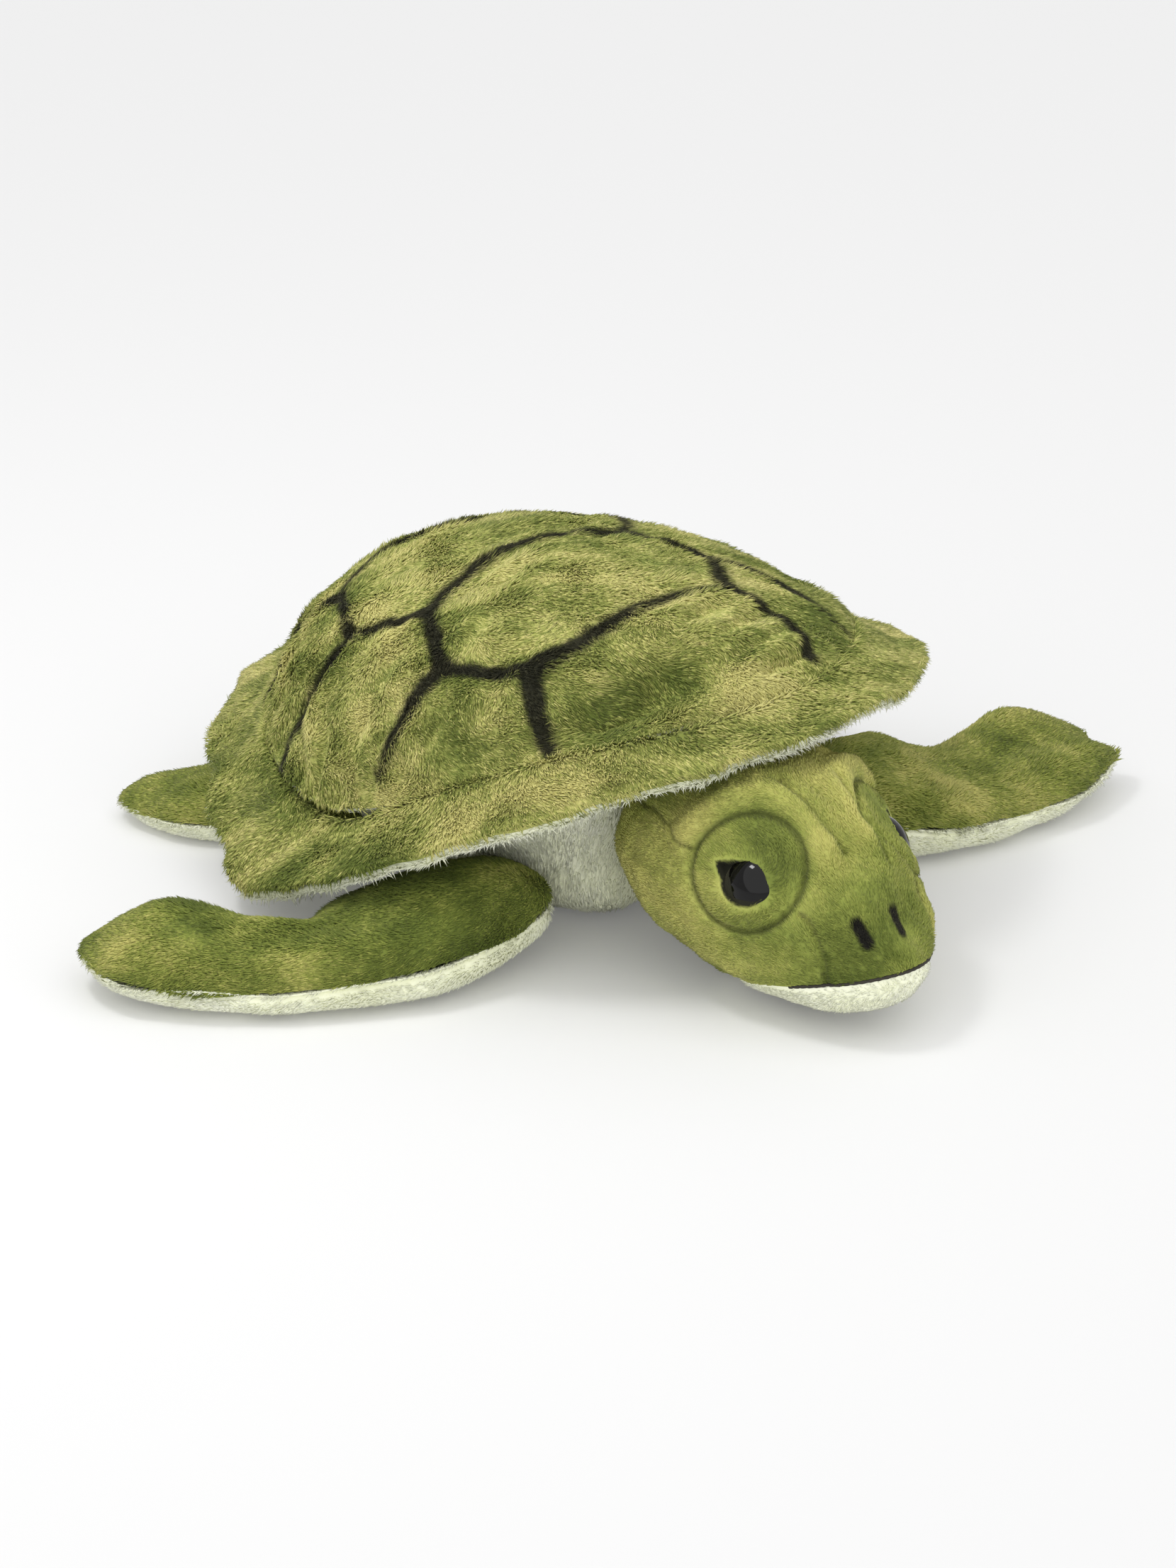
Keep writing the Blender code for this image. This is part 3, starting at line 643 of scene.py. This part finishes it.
# painted shade darkens the rim's left side
dressed(rimSkin, "green_plush_shell", rimPile, rimNap, rimKeep, plain,
        lambda points: -0.9 * spot(points, *rim["shade"]))
worn(rimSkin, "torso", "green_plush", 0.15, "rim_cover")
liningSkin = skinOf(["rim_lining"], "rim_lining_plush", rim["rounds"])
waved(liningSkin, rim["drawnIn"])
dressed(liningSkin, "cream_plush", liningPile, liningNap, liningKeep)
worn(liningSkin, "torso", "cream_plush", 0.15, "rim_lining")


# Belly and neck

belly = {"rounds": 2, "middle": (0, 0, 24), "lumps": 0.35, "chest": 8}
bellyPile = {"seed": 51, "perSquare": 2.8, "length": 2.4, "width": 0.42, "lift": 0.28, "swirl": 0.25,
             "loose": 0.16}
neckPile = {"seed": 61, "perSquare": 9.0, "length": 2.0, "width": 0.34, "lift": 0.28, "swirl": 0.2,
            "loose": 0.14}


def bellyAmount(points, normals):
    return ripple(points * mm, 28, 12) * belly["lumps"] * step(3, 9, points[:, 2])


def chested(skin):  # the chest sags forwards between the flippers
    points = places(skin.data)
    x, y, z = points.T / mm
    share = np.exp(-((x + 13) / 17) ** 2 - ((z - 6) / 9) ** 2) * (1 - step(-34, -22, y))
    points[:, 1] -= belly["chest"] * mm * share
    points[:, 0] -= 0.25 * belly["chest"] * mm * share
    setPlaces(skin.data, points)


def downNap(points, normals):
    return np.tile((0.0, -0.25, -1.0), (len(points), 1))


def bellyKeep(points, normals):
    outside = np.einsum("ij,ij->i", normals, points - np.array(belly["middle"])) > 0
    covered = 1 - step(0.93, 0.97, fromMiddle(points))
    return outside * step(0.4, 2.5, points[:, 2]) * covered * (normals[:, 2] < 0.6)


bellySkin = skinOf(["belly_cover"], "belly_plush", belly["rounds"], smooth=2)
pushed(bellySkin, belly["middle"], bellyAmount)
chested(bellySkin)
dressed(bellySkin, "cream_plush", bellyPile, downNap, bellyKeep)
worn(bellySkin, "torso", "cream_plush", 0.8, "belly_cover")
neckSkin = skinOf(["neck"], "neck_plush", 2)
dressed(neckSkin, "cream_plush", neckPile, downNap, lambda points, normals: np.ones(len(points)))
worn(neckSkin, "neck", "cream_plush", 0.9, "neck")


# Head: modelled in its own frame, straight ahead of the neck, and turned with it

head = {"yaw": 7, "aside": -3.0, "along": -53.08, "voxel": 0.9, "smooth": 14, "patch": (19.3, -35.4, 33.3),
        "ring": 11.9, "groove": 1.2, "brow": 2.4, "seam": 1.0, "crease": 1.5, "chinLine": (-62.0, 16.6),
        "chinSlope": -0.30, "chinShare": 0.8}
headPile = {"seed": 71, "perSquare": 7.0, "length": 1.5, "width": 0.34, "lift": 0.28, "swirl": 0.2,
            "loose": 0.14}
chinPile = {"seed": 81, "perSquare": 6.0, "length": 1.5, "width": 0.36, "lift": 0.28, "swirl": 0.2,
            "loose": 0.14}
headTurn = np.array(Matrix.Rotation(radians(-head["yaw"]), 3, "Z"))


def headOwn(points):  # row frame to the head's own frame
    return (points - np.array((head["aside"], head["along"], 0))) @ headTurn


def fromHead(points):
    return np.asarray(points) @ headTurn.T + np.array((head["aside"], head["along"], 0))


eyeSeat = {"place": (19.51, -37.26, 31.56), "facing": (0.8145, -0.4233, 0.397), "sunk": 2.9}
eye = {"radius": 6.0, "rise": 4.2, "segments": 48, "rings": 24}

# The opening between the lids, backwards and upwards from the eye's middle
eyeShape = ((8.0, 3.0), (5.4, 3.6), (3.0, 4.0), (0.5, 4.1), (-1.6, 3.5), (-3.0, 2.2), (-3.8, 0), (-3.4, -2.2),
            (-1.8, -3.8), (0.6, -4.6), (3.0, -4.2), (4.8, -2.9), (6.2, 0))
eyeMiddle = 1.0
headSeams = (  # right side, in the head's own frame; the left side mirrors them
    ((-22.0, 1, 38.4), (-22.7, -7.0, 38.4), (-23.5, -14.2, 37.9), (-24.1, -18.8, 35.8), (-23.4, -23.4, 35.0)),
    ((-15.2, -47.4, 27.4), (-14.3, -49.1, 26.4), (-13.9, -51.6, 23.5), (-13.8, -53.7, 19.4),
     (-13.5, -54.9, 14.8)),
)
browCreases = (
    ((-4.4, -27.1, 46.5), (-3.9, -31.6, 44.6), (-3.5, -36.2, 42.4), (-3.0, -39.9, 40.2), (-1.6, -45.1, 36.9)),
    ((7.7, -29.8, 44.9), (6.6, -34.2, 42.9), (6.4, -38.8, 40.2), (7.0, -42.5, 37.5), (7.4, -47.9, 33.2)),
)
nostrils = (((-6.7, -55.2, 26.3), (-5.8, -58.0, 23.0)), ((2.6, -55.8, 27.0), (2.9, -58.5, 23.7)))


def mirrored(run):
    return [(-x, y, z) for x, y, z in run]


def joined(runs):  # the points of several smooth lines
    return np.array([point for run in runs for point in alongLine(run)])


def laid(line):  # a line of points, moved onto the head's skin
    tree = BVHTree.FromObject(headSkin, bpy.context.evaluated_depsgraph_get())
    return headOwn(np.array([tree.find_nearest(Vector(point))[0] for point in fromHead(line) * mm]) / mm)


def aroundEye(own):  # distance from the eye's axis, and across it upwards and backwards, on the nearer side
    own = own.copy()
    own[:, 0] = np.abs(own[:, 0])
    facing = np.array(eyeSeat["facing"])
    away = own - np.array(eyeSeat["place"])
    flat = away - (away @ facing)[:, None] * facing
    upward = np.array((0, 0, 1)) - facing * facing[2]
    upward /= np.linalg.norm(upward)
    backward = np.cross(facing, upward)
    backward *= np.sign(backward[1])
    return np.linalg.norm(flat, axis=1), flat @ upward, flat @ backward, away @ facing


def lids(own):  # distance outside the opening between the lids, and how high the eye stands at its edge there
    _, upward, backward, depth = aroundEye(own)
    edge = np.array([(np.arctan2(up, back - eyeMiddle), np.hypot(up, back - eyeMiddle))
                     for back, up in eyeShape])
    angle = np.arctan2(upward, backward - eyeMiddle)
    reach = np.interp(angle, *edge[edge[:, 0].argsort()].T, period=2 * np.pi)
    apart = np.hypot(upward, backward - eyeMiddle) - reach
    across = np.hypot(eyeMiddle + reach * np.cos(angle), reach * np.sin(angle)) / eye["radius"]
    stands = eye["rise"] * np.sqrt(np.clip(1 - across**2, 0, 1)) - eyeSeat["sunk"]
    return apart, np.maximum(stands + 0.5, 0.5), depth


def eyeAway(own):  # the way out from the nearer eye along the skin
    side = np.sign(own[:, 0])[:, None] * np.array((1, 0, 0)) + np.array((0, 1, 1))
    facing = np.array(eyeSeat["facing"])
    away = own * side - np.array(eyeSeat["place"])
    return unit(away - (away @ facing)[:, None] * facing) * side


def patchApart(own):  # distance from the patch's seam, inside negative
    own = own.copy()
    own[:, 0] = np.abs(own[:, 0])
    facing = np.array(eyeSeat["facing"])
    away = own - np.array(head["patch"])
    flat = away - (away @ facing)[:, None] * facing
    return np.linalg.norm(flat, axis=1) - head["ring"]


def headAmount(points, normals):
    own = headOwn(points)
    apart = patchApart(own)
    groove = -head["groove"] * np.exp(-(apart / 0.9) ** 2)
    brow = head["brow"] * np.exp(-((apart - 3.6) / 2.9) ** 2)
    brow *= step(31, 39, own[:, 2])
    brow *= step(-53, -42, own[:, 1])
    seams = -head["seam"] * np.exp(-(nearest(own, seamLine, 0) / 0.9) ** 2)
    crease = -head["crease"] * np.exp(-(nearest(own, creaseLine, 0) / 1.2) ** 2)
    outside, stands, depth = lids(own)
    lid = np.where(outside > 0, stands * np.exp(-(outside / 2.4) ** 2),
                   stands - (stands + 1.6) * step(0, 0.9, -outside))
    lid *= (depth > -7)
    lumps = 0.25 * ripple(points * mm, 18, 14) + 0.12 * ripple(points * mm, 6, 15)
    return groove + brow + seams + crease + lid + lumps * step(2, 8, points[:, 2])


def headNap(points, normals):
    own = headOwn(points)
    near = np.exp(-np.maximum(lids(own)[0], 0) / 2.5)[:, None]
    return (np.array((0, 1, 0.12)) + eyeAway(own) * 2.4 * near) @ headTurn.T


def seamGap(own):
    apart = np.minimum(np.abs(patchApart(own)), nearest(own, seamLine, 0))
    return step(0.2, 1.3, apart)


def headKeep(points, normals):
    own = headOwn(points)
    back = 1 - step(2.5, 4.5, own[:, 1])
    neckApart = np.linalg.norm(own - np.array((0, 0, 28.2)), axis=1)
    return (0.25 + 0.75 * seamGap(own)) * back * (neckApart > 14.2)


def headInkAndShade(points):
    own = headOwn(points)
    nose = 1 - step(1.0, 1.9, nearest(own, nostrilLine, 0))
    seams = 0.5 * (1 - step(0.2, 1.0, np.minimum(np.abs(patchApart(own)), nearest(own, seamLine, 0))))
    # the brow creases are darkened with painted shade
    creases = 0.25 * (1 - step(0.1, 1.1, nearest(own, creaseLine, 0)))
    outside, _, depth = lids(own)
    # black around the eye's opening and in its back corner: painted shade between the lids and the eye
    rimmed = (1 - step(-0.1, 0.35, outside)) * (depth > -6)
    return np.maximum.reduce((nose, seams, creases, rimmed * 0.98))


def headLightShadeAndTone(points):  # painted light on the brow and cheek, painted shade along the brow creases and the patches' seams; a darker green muzzle and patch, and a little darker crown
    own = headOwn(points)
    muzzle = (1 - step(-58, -46, own[:, 1])) * (1 - step(12.4, 14.6, np.abs(own[:, 0])))
    brow = np.exp(-((patchApart(own) - 4) / 5) ** 2) * step(34, 40, own[:, 2])
    cheek = np.exp(-((own[:, 1] + 30) / 23) ** 2) * (1 - step(26, 36, own[:, 2]))
    crown = np.exp(-((own[:, 0] - 1.5) / 5) ** 2) * step(34, 42, own[:, 2])
    around = np.exp(-(nearest(own, creaseLine, 0) / 2) ** 2) + np.exp(-(patchApart(own) / 1.6) ** 2)
    patch = 1 - step(-3, 0, patchApart(own))
    return 0.95 * brow + 0.8 * cheek - 1.3 * muzzle - 0.3 * crown - 0.5 * around - 0.25 * patch


def wedge(name, low, high, slope=0, hinge=(0, 0)):  # a cutting box in the head's frame, its top sloped
    bpy.ops.mesh.primitive_cube_add(size=1)
    block = bpy.context.active_object
    block.name = name
    points = places(block.data)
    points = np.array(low) + (points + 0.5) * (np.array(high) - np.array(low))
    top = points[:, 2] > (low[2] + high[2]) / 2
    points[top, 2] = hinge[1] + slope * (points[top, 1] - hinge[0])
    setPlaces(block.data, fromHead(points) * mm)
    return block


def disc(name, side, radius):  # a cutting cylinder through an eye patch
    bpy.ops.mesh.primitive_cylinder_add(vertices=64, radius=radius * mm, depth=34 * mm)
    rod = bpy.context.active_object
    rod.name = name
    facing = Vector((side * eyeSeat["facing"][0], eyeSeat["facing"][1], eyeSeat["facing"][2]))
    middle = Vector((side * head["patch"][0], head["patch"][1], head["patch"][2])) + facing * 8
    stand = np.array(facing.to_track_quat("Z", "Y").to_matrix())
    points = places(rod.data) / mm @ stand.T + np.array(middle)
    setPlaces(rod.data, fromHead(points) * mm)
    return rod


def split(piece, cutter, name):  # parts a piece in two along a cutter: what is left, and what was inside
    inside = piece.copy()
    inside.data = piece.data.copy()
    inside.name = name
    bpy.context.scene.collection.objects.link(inside)
    modified(inside, "BOOLEAN", operation="INTERSECT", object=cutter, solver="MANIFOLD")
    modified(piece, "BOOLEAN", operation="DIFFERENCE", object=cutter, solver="MANIFOLD")
    bpy.data.objects.remove(cutter)
    return inside


def biggest(piece):  # keeps a mesh's largest shell and drops the pockets inside it
    selectOnly(piece)
    bpy.ops.object.mode_set(mode="EDIT")
    bpy.ops.mesh.select_all(action="SELECT")
    bpy.ops.mesh.separate(type="LOOSE")
    bpy.ops.object.mode_set(mode="OBJECT")
    shells = sorted(bpy.context.selected_objects, key=lambda shell: -len(shell.data.vertices))
    for shell in shells[1:]:
        bpy.data.objects.remove(shell)
    shells[0].name = piece.name if shells[0] == piece else "head_plush"
    return shells[0]


headNodes = ["head_crown", "cheek_right", "cheek_left", "chin_panel", "eye_patch_right", "eye_patch_left",
             "head_filling"]
headSkin = skinOf(headNodes, "head_plush", 0)
modified(headSkin, "REMESH", mode="VOXEL", voxel_size=head["voxel"] * mm)
headSkin = biggest(headSkin)
modified(headSkin, "SMOOTH", factor=0.5, iterations=head["smooth"])
modified(headSkin, "SUBSURF", levels=1, render_levels=1)
seamLine = laid(joined(headSeams + tuple(mirrored(run) for run in headSeams)))
creaseLine, nostrilLine = laid(joined(browCreases)), laid(joined(nostrils))
pushed(headSkin, (0, 0, 0), headAmount, hollow=False)
seamLine, creaseLine, nostrilLine = laid(seamLine), laid(creaseLine), laid(nostrilLine)
headSkin.data.shade_smooth()
headTree = BVHTree.FromObject(headSkin, bpy.context.evaluated_depsgraph_get())
chinCutter = wedge("chin_cut", (-60, -90, -30), (60, 40, 20), head["chinSlope"], head["chinLine"])
chinSkin = split(headSkin, chinCutter, "chin_plush")
patchSkins = [split(headSkin, disc("patch_cut", side, head["ring"]), name)
              for side, name in ((-1, "eye_patch_plush_right"), (1, "eye_patch_plush_left"))]
for skin in [headSkin, chinSkin] + patchSkins:
    skin.data.shade_smooth()


def underMouth(own):  # depth under the plane of the chin's seam
    return head["chinLine"][1] + head["chinSlope"] * (own[:, 1] - head["chinLine"][0]) - own[:, 2]


chinOwn = headOwn(places(chinSkin.data) / mm)
chinOwn[:, 2] += np.maximum(underMouth(chinOwn), 0) * (1 - head["chinShare"])
setPlaces(chinSkin.data, fromHead(chinOwn) * mm)


def chinKeep(points, normals):
    own = headOwn(points)
    shown = (normals[:, 2] < 0.55) * step(0.4, 2.0, points[:, 2]) * (1 - step(2.5, 4.5, own[:, 1]))
    return shown * step(0.5, 2.2, underMouth(own))


def patchKeep(points, normals):
    own = headOwn(points)
    outside, _, depth = lids(own)
    facing = normals @ headTurn
    facing[:, 0] = np.abs(facing[:, 0])
    shown = (facing @ np.array(eyeSeat["facing"]) > 0.35) & (depth > -8)
    return shown * step(0.1, 1.2, outside) * (0.25 + 0.75 * step(0.2, 1.3, np.abs(patchApart(own))))


def headOutside(points, normals):  # the head's own skin, without the cut walls under the patches and the chin
    own = headOwn(points)
    walls = patchApart(own) < 0.15
    below = underMouth(own) > -0.1
    return headKeep(points, normals) * ~walls * ~below


dressed(headSkin, "green_plush_head", headPile, headNap, headOutside, headInkAndShade, headLightShadeAndTone)
worn(headSkin, "head", "green_plush", 0.9, "head_crown", "cheek_right", "cheek_left", "head_filling")
dressed(chinSkin, "cream_plush", chinPile, headNap, chinKeep)
worn(chinSkin, "head", "cream_plush", 0.9, "chin_panel")
for seed, skin, node in zip((91, 92), patchSkins, ("eye_patch_right", "eye_patch_left")):
    dressed(skin, "green_plush_head", dict(headPile, seed=seed), headNap, patchKeep, headInkAndShade, headLightShadeAndTone)
    worn(skin, "head", "olive_plush", 0.9, node)


# Mouth: a line of black thread along the chin's seam

mouth = {"middle": -40, "spread": 66, "points": 90, "radius": 0.36, "twist": 2.2}


def onMouth(angle):  # where the plane of the chin's seam meets the head's skin
    slope = head["chinSlope"]
    start = (0, mouth["middle"], head["chinLine"][1] + slope * (mouth["middle"] - head["chinLine"][0]))
    far = (100 * sin(angle), mouth["middle"] - 100 * cos(angle), start[2] - 100 * slope * cos(angle))
    ends = fromHead([start, far]) * mm
    way = Vector(ends[1] - ends[0]).normalized()
    return headTree.ray_cast(Vector(ends[0]), way)[0] + way * 0.05 * mm


def addMouth():
    angles = np.linspace(-mouth["spread"], mouth["spread"], mouth["points"])
    run = [onMouth(radians(angle)) for angle in angles]
    threads = bpy.data.curves.new("mouth_line", "CURVE")
    threads.dimensions = "3D"
    threads.bevel_depth = mouth["radius"] * mm
    threads.bevel_resolution = 2
    threads.use_fill_caps = True
    spline = threads.splines.new("POLY")
    spline.points.add(len(run) - 1)
    for k, place in enumerate(run):
        spline.points[k].co = (*place, 1)
        spline.points[k].radius = 1 + 0.18 * sin(k * mouth["twist"])
    piece = bpy.data.objects.new("mouth_line", threads)
    bpy.context.scene.collection.objects.link(piece)
    selectOnly(piece)
    bpy.ops.object.convert(target="MESH")
    return piece


def threadFinish():
    finish = Finish("black_thread")
    strands = finish.noise(0.5, detail=2)
    bump = finish.node("ShaderNodeBump", None, {"Strength": 0.5, "Distance": 0.2 * mm, "Height": strands})
    coloured = finish.mixed(strands, paint(18, 17, 14), paint(58, 52, 40))
    return finish.close(finish.node("ShaderNodeBsdfPrincipled", None, {
        "Base Color": coloured, "Roughness": (0.6 + strands * 0.3).kept(), "Normal": bump.outputs[0]}))


mouthPiece = addMouth()
mouthPiece.data.materials.append(threadFinish())
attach(mouthPiece, "head")


# Eyes: glossy black plastic domes on shanks, with their washers inside

def eyeFinish():
    finish = Finish("eye_plastic")
    haze = finish.noise(2.2, detail=2)
    return finish.close(finish.node("ShaderNodeBsdfPrincipled", None, {
        "Base Color": finish.mixed(haze, paint(3, 3, 3), paint(9, 8, 7)),
        "Roughness": (0.04 + haze * 0.04).kept(), "IOR": 1.35, "Specular IOR Level": 0.5}))


def washerFinish():
    finish = Finish("washer_plastic")
    cloud = finish.noise(1.6, detail=2)
    return finish.close(finish.node("ShaderNodeBsdfPrincipled", None, {
        "Base Color": finish.mixed(cloud, paint(222, 222, 216), paint(240, 240, 236)),
        "Roughness": (0.35 + cloud * 0.15).kept()}))


def addEye(name, side, finish):
    bpy.ops.mesh.primitive_uv_sphere_add(segments=eye["segments"], ring_count=eye["rings"], radius=1)
    piece = bpy.context.active_object
    piece.name = name
    points = places(piece.data)
    high = points[:, 2] > 0
    points[:, :2] *= eye["radius"]
    points[:, 2] *= np.where(high, eye["rise"], 0.6)
    facing = Vector((side * eyeSeat["facing"][0], eyeSeat["facing"][1], eyeSeat["facing"][2]))
    place = np.array((side * eyeSeat["place"][0], eyeSeat["place"][1], eyeSeat["place"][2]))
    place -= np.array(facing) * eyeSeat["sunk"]
    stand = np.array(facing.to_track_quat("Z", "Y").to_matrix())
    setPlaces(piece.data, fromHead(points @ stand.T + place) * mm)
    piece.data.shade_smooth()
    piece.data.materials.append(finish)
    return piece


glossy, washerLook = eyeFinish(), washerFinish()
for side, name in ((-1, "right"), (1, "left")):
    eyePiece = addEye("eye_dome_" + name, side, glossy)
    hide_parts("eye_" + name)
    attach(eyePiece, "head")
    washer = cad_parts["eye_washer_" + name]
    washer.data.materials.clear()
    washer.data.materials.append(washerLook)
print("head finished")


# Flippers

flipperPile = {"perSquare": 6.0, "length": 1.9, "width": 0.38, "lift": 0.34, "swirl": 0.25, "loose": 0.18}
solePile = {"perSquare": 4.0, "length": 1.8, "width": 0.42, "lift": 0.34, "swirl": 0.25, "loose": 0.22}


def hill(points, middle, spread):  # 1 at a place on the floor, and 0 away from it
    x, y = (points[:, 0] - middle[0]) / spread[0], (points[:, 1] - middle[1]) / spread[1]
    return np.exp(-x**2 - y**2)


def bentRight(points):  # a narrow waist behind a wide lobe that lifts a little
    moved = points.copy()
    waist = 0.42 * np.exp(-((points[:, 0] + 79) / 9) ** 2)
    moved[:, 1] -= np.maximum(points[:, 1] + 18, 0) * waist
    moved[:, 2] += 4.0 * hill(points, (-97, 12), (15, 9)) + 1.0 * hill(points, (-60, -25), (12, 10))
    moved[:, 2] -= 1.2 * hill(points, (-80, -12), (5, 9)) * step(5, 9, points[:, 2])
    return moved


def bentLeft(points):  # a raised shoulder, a dip, and a lobe that curls up at the back
    moved = points.copy()
    moved[:, 0] -= np.maximum(points[:, 0] - 104, 0) * 0.3 * np.exp(-((points[:, 1] + 53) / 5) ** 2)
    moved[:, 2] += 5.5 * hill(points, (66, -32), (13, 11)) + 6.5 * hill(points, (107, -38), (15, 8))
    moved[:, 2] += 2.0 * hill(points, (108, -62), (11, 6))
    moved[:, 2] -= 1.6 * hill(points, (90, -51), (12, 4)) * step(5, 9, points[:, 2])
    return moved


def addFlipper(name, own):
    root, tip = np.array(own["root"], float), np.array(own["tip"], float)
    middle = (root + tip) / 2

    def nap(points, normals):
        return unit(points - root) * 0.7 + unit((tip - root)[None]) * 0.5

    def lumps(points, normals):
        return 0.35 * ripple(points * mm, 20, own["seed"]) * step(2, 7, points[:, 2])

    def topKeep(points, normals):
        return (normals[:, 2] > -0.25) * step(0.6, 2.0, points[:, 2])

    def soleKeep(points, normals):
        return (normals[:, 2] < 0.3) * step(0.5, 2.4, points[:, 2])

    # painted shade over a whole flipper, set by its shade value
    def shade(points):
        return np.full(len(points), own.get("shade", 0))

    for half, finish, slot, keep, pile in (
            ("_top", "green_plush_flipper", "green_plush", topKeep, flipperPile),
            ("_bottom", "cream_plush", "cream_plush", soleKeep, solePile)):
        skin = skinOf([name + half], name + half + "_plush", 3)
        centre = (middle[0], middle[1], 40 if half == "_bottom" else -40)
        met = meeting(places(skin.data), name + ("_top" if half == "_bottom" else "_bottom"), 2.5)
        pushed(skin, centre, lumps)
        points, normals = places(skin.data), facings(skin.data)
        if half == "_bottom":  # the sole is fuller, and its edge tucks in under the top cover
            wide = meeting(points, name + "_top", 5)
            fuller = normals * np.where((normals[:, 2] < 0.3)[:, None], 1.5 * (1 - wide), 0)
            points += (fuller + (np.array((0, 0, 0.1)) - normals * np.array((1.3, 1.3, 0))) * met) * mm
            setPlaces(skin.data, points)
            modified(skin, "SMOOTH", factor=0.5, iterations=5)
            points = places(skin.data)
            points[:, 2] = np.maximum(points[:, 2], 0.3 * mm)
        else:
            points[:, 2] -= 0.3 * met[:, 0] * mm
        setPlaces(skin.data, points)
        if "bent" in own:
            setPlaces(skin.data, own["bent"](places(skin.data) / mm) * mm)
        pile = dict(pile, seed=own["seed"] + (1 if half == "_top" else 5))
        dressed(skin, finish, pile, nap, keep, plain, shade)
        replaced = [name + half, name + "_filling"] if half == "_top" else [name + half]
        worn(skin, name, slot, 0.7, *replaced)


flippers = {
    # the right front flipper is darkened with painted shade
    "front_flipper_right": {"root": (-36, -34, 14), "tip": (-112, -2, 8), "seed": 101, "bent": bentRight,
                            "shade": -0.3},
    "front_flipper_left": {"root": (36, -34, 14), "tip": (122, -50, 8), "seed": 111, "bent": bentLeft},
    "rear_flipper_right": {"root": (-28, 36, 8), "tip": (-56, 78, 5), "seed": 121},
    "rear_flipper_left": {"root": (28, 36, 8), "tip": (56, 78, 5), "seed": 131},
}
for flipperName, flipperOwn in flippers.items():
    addFlipper(flipperName, flipperOwn)
print("flippers finished")


# Studio: a pale floor that looks white to the camera and keeps the soft shadow, and plain light

studio = {"floor": 6000, "diffuse": 0.71, "glow": 0.10, "bounce": 0.88, "world": 0.66,
          "sun": {"from": (-330, -430, 620), "spread": 120, "strength": 1.75},
          "window": {"from": (-210, 40, 490), "size": 120, "power": 0.6}}


def floorFinish():
    finish = Finish("studio_floor")
    rays = finish.node("ShaderNodeLightPath").outputs
    cloud = finish.noise(900, detail=1)
    shown = (Reading(finish, rays["Is Camera Ray"]) + Reading(finish, rays["Is Glossy Ray"])
             + Reading(finish, rays["Is Transmission Ray"])).kept()
    plainPaper = finish.node("ShaderNodeBsdfDiffuse", None, {"Color": (studio["bounce"],) * 3 + (1,)})
    bright = studio["diffuse"]
    pale = finish.node("ShaderNodeBsdfDiffuse", None, {
        "Color": finish.mixed(cloud, (bright,) * 3 + (1,), (bright * 0.995,) * 3 + (1,))})
    glow = finish.node("ShaderNodeEmission", None, {"Color": (1, 1, 1, 1), "Strength": studio["glow"]})
    both = finish.node("ShaderNodeAddShader", None, {0: pale.outputs[0], 1: glow.outputs[0]})
    return finish.close(finish.node("ShaderNodeMixShader", None, {
        0: shown, 1: plainPaper.outputs[0], 2: both.outputs[0]}))


def addLight(name, kind, own):
    spot = Vector(own["from"]) * mm
    bpy.ops.object.light_add(type=kind, location=spot)
    lamp = bpy.context.active_object
    lamp.name = name
    lamp.rotation_euler = (spot - Vector((0, 0, 0.03))).to_track_quat("Z", "Y").to_euler()
    if kind == "SUN":
        lamp.data.angle = radians(own["spread"])
        lamp.data.energy = own["strength"]
    else:
        lamp.data.shape = "RECTANGLE"
        lamp.data.size = own["size"] * mm
        lamp.data.size_y = own["size"] * mm * 0.7
        lamp.data.energy = own["power"]


bpy.ops.mesh.primitive_plane_add(size=studio["floor"] * mm * 2, location=(0, 0, 0))
floor = bpy.context.active_object
floor.name = "studio_floor"
floor.data.materials.append(floorFinish())
addLight("soft_sun", "SUN", studio["sun"])
addLight("window_light", "AREA", studio["window"])
world = bpy.data.worlds.new("studio_world")
bpy.context.scene.world = world
world.use_nodes = True
world.node_tree.nodes["Background"].inputs["Color"].default_value = (1, 1, 1, 1)
world.node_tree.nodes["Background"].inputs["Strength"].default_value = studio["world"]
bpy.context.scene.view_settings.view_transform = "Standard"
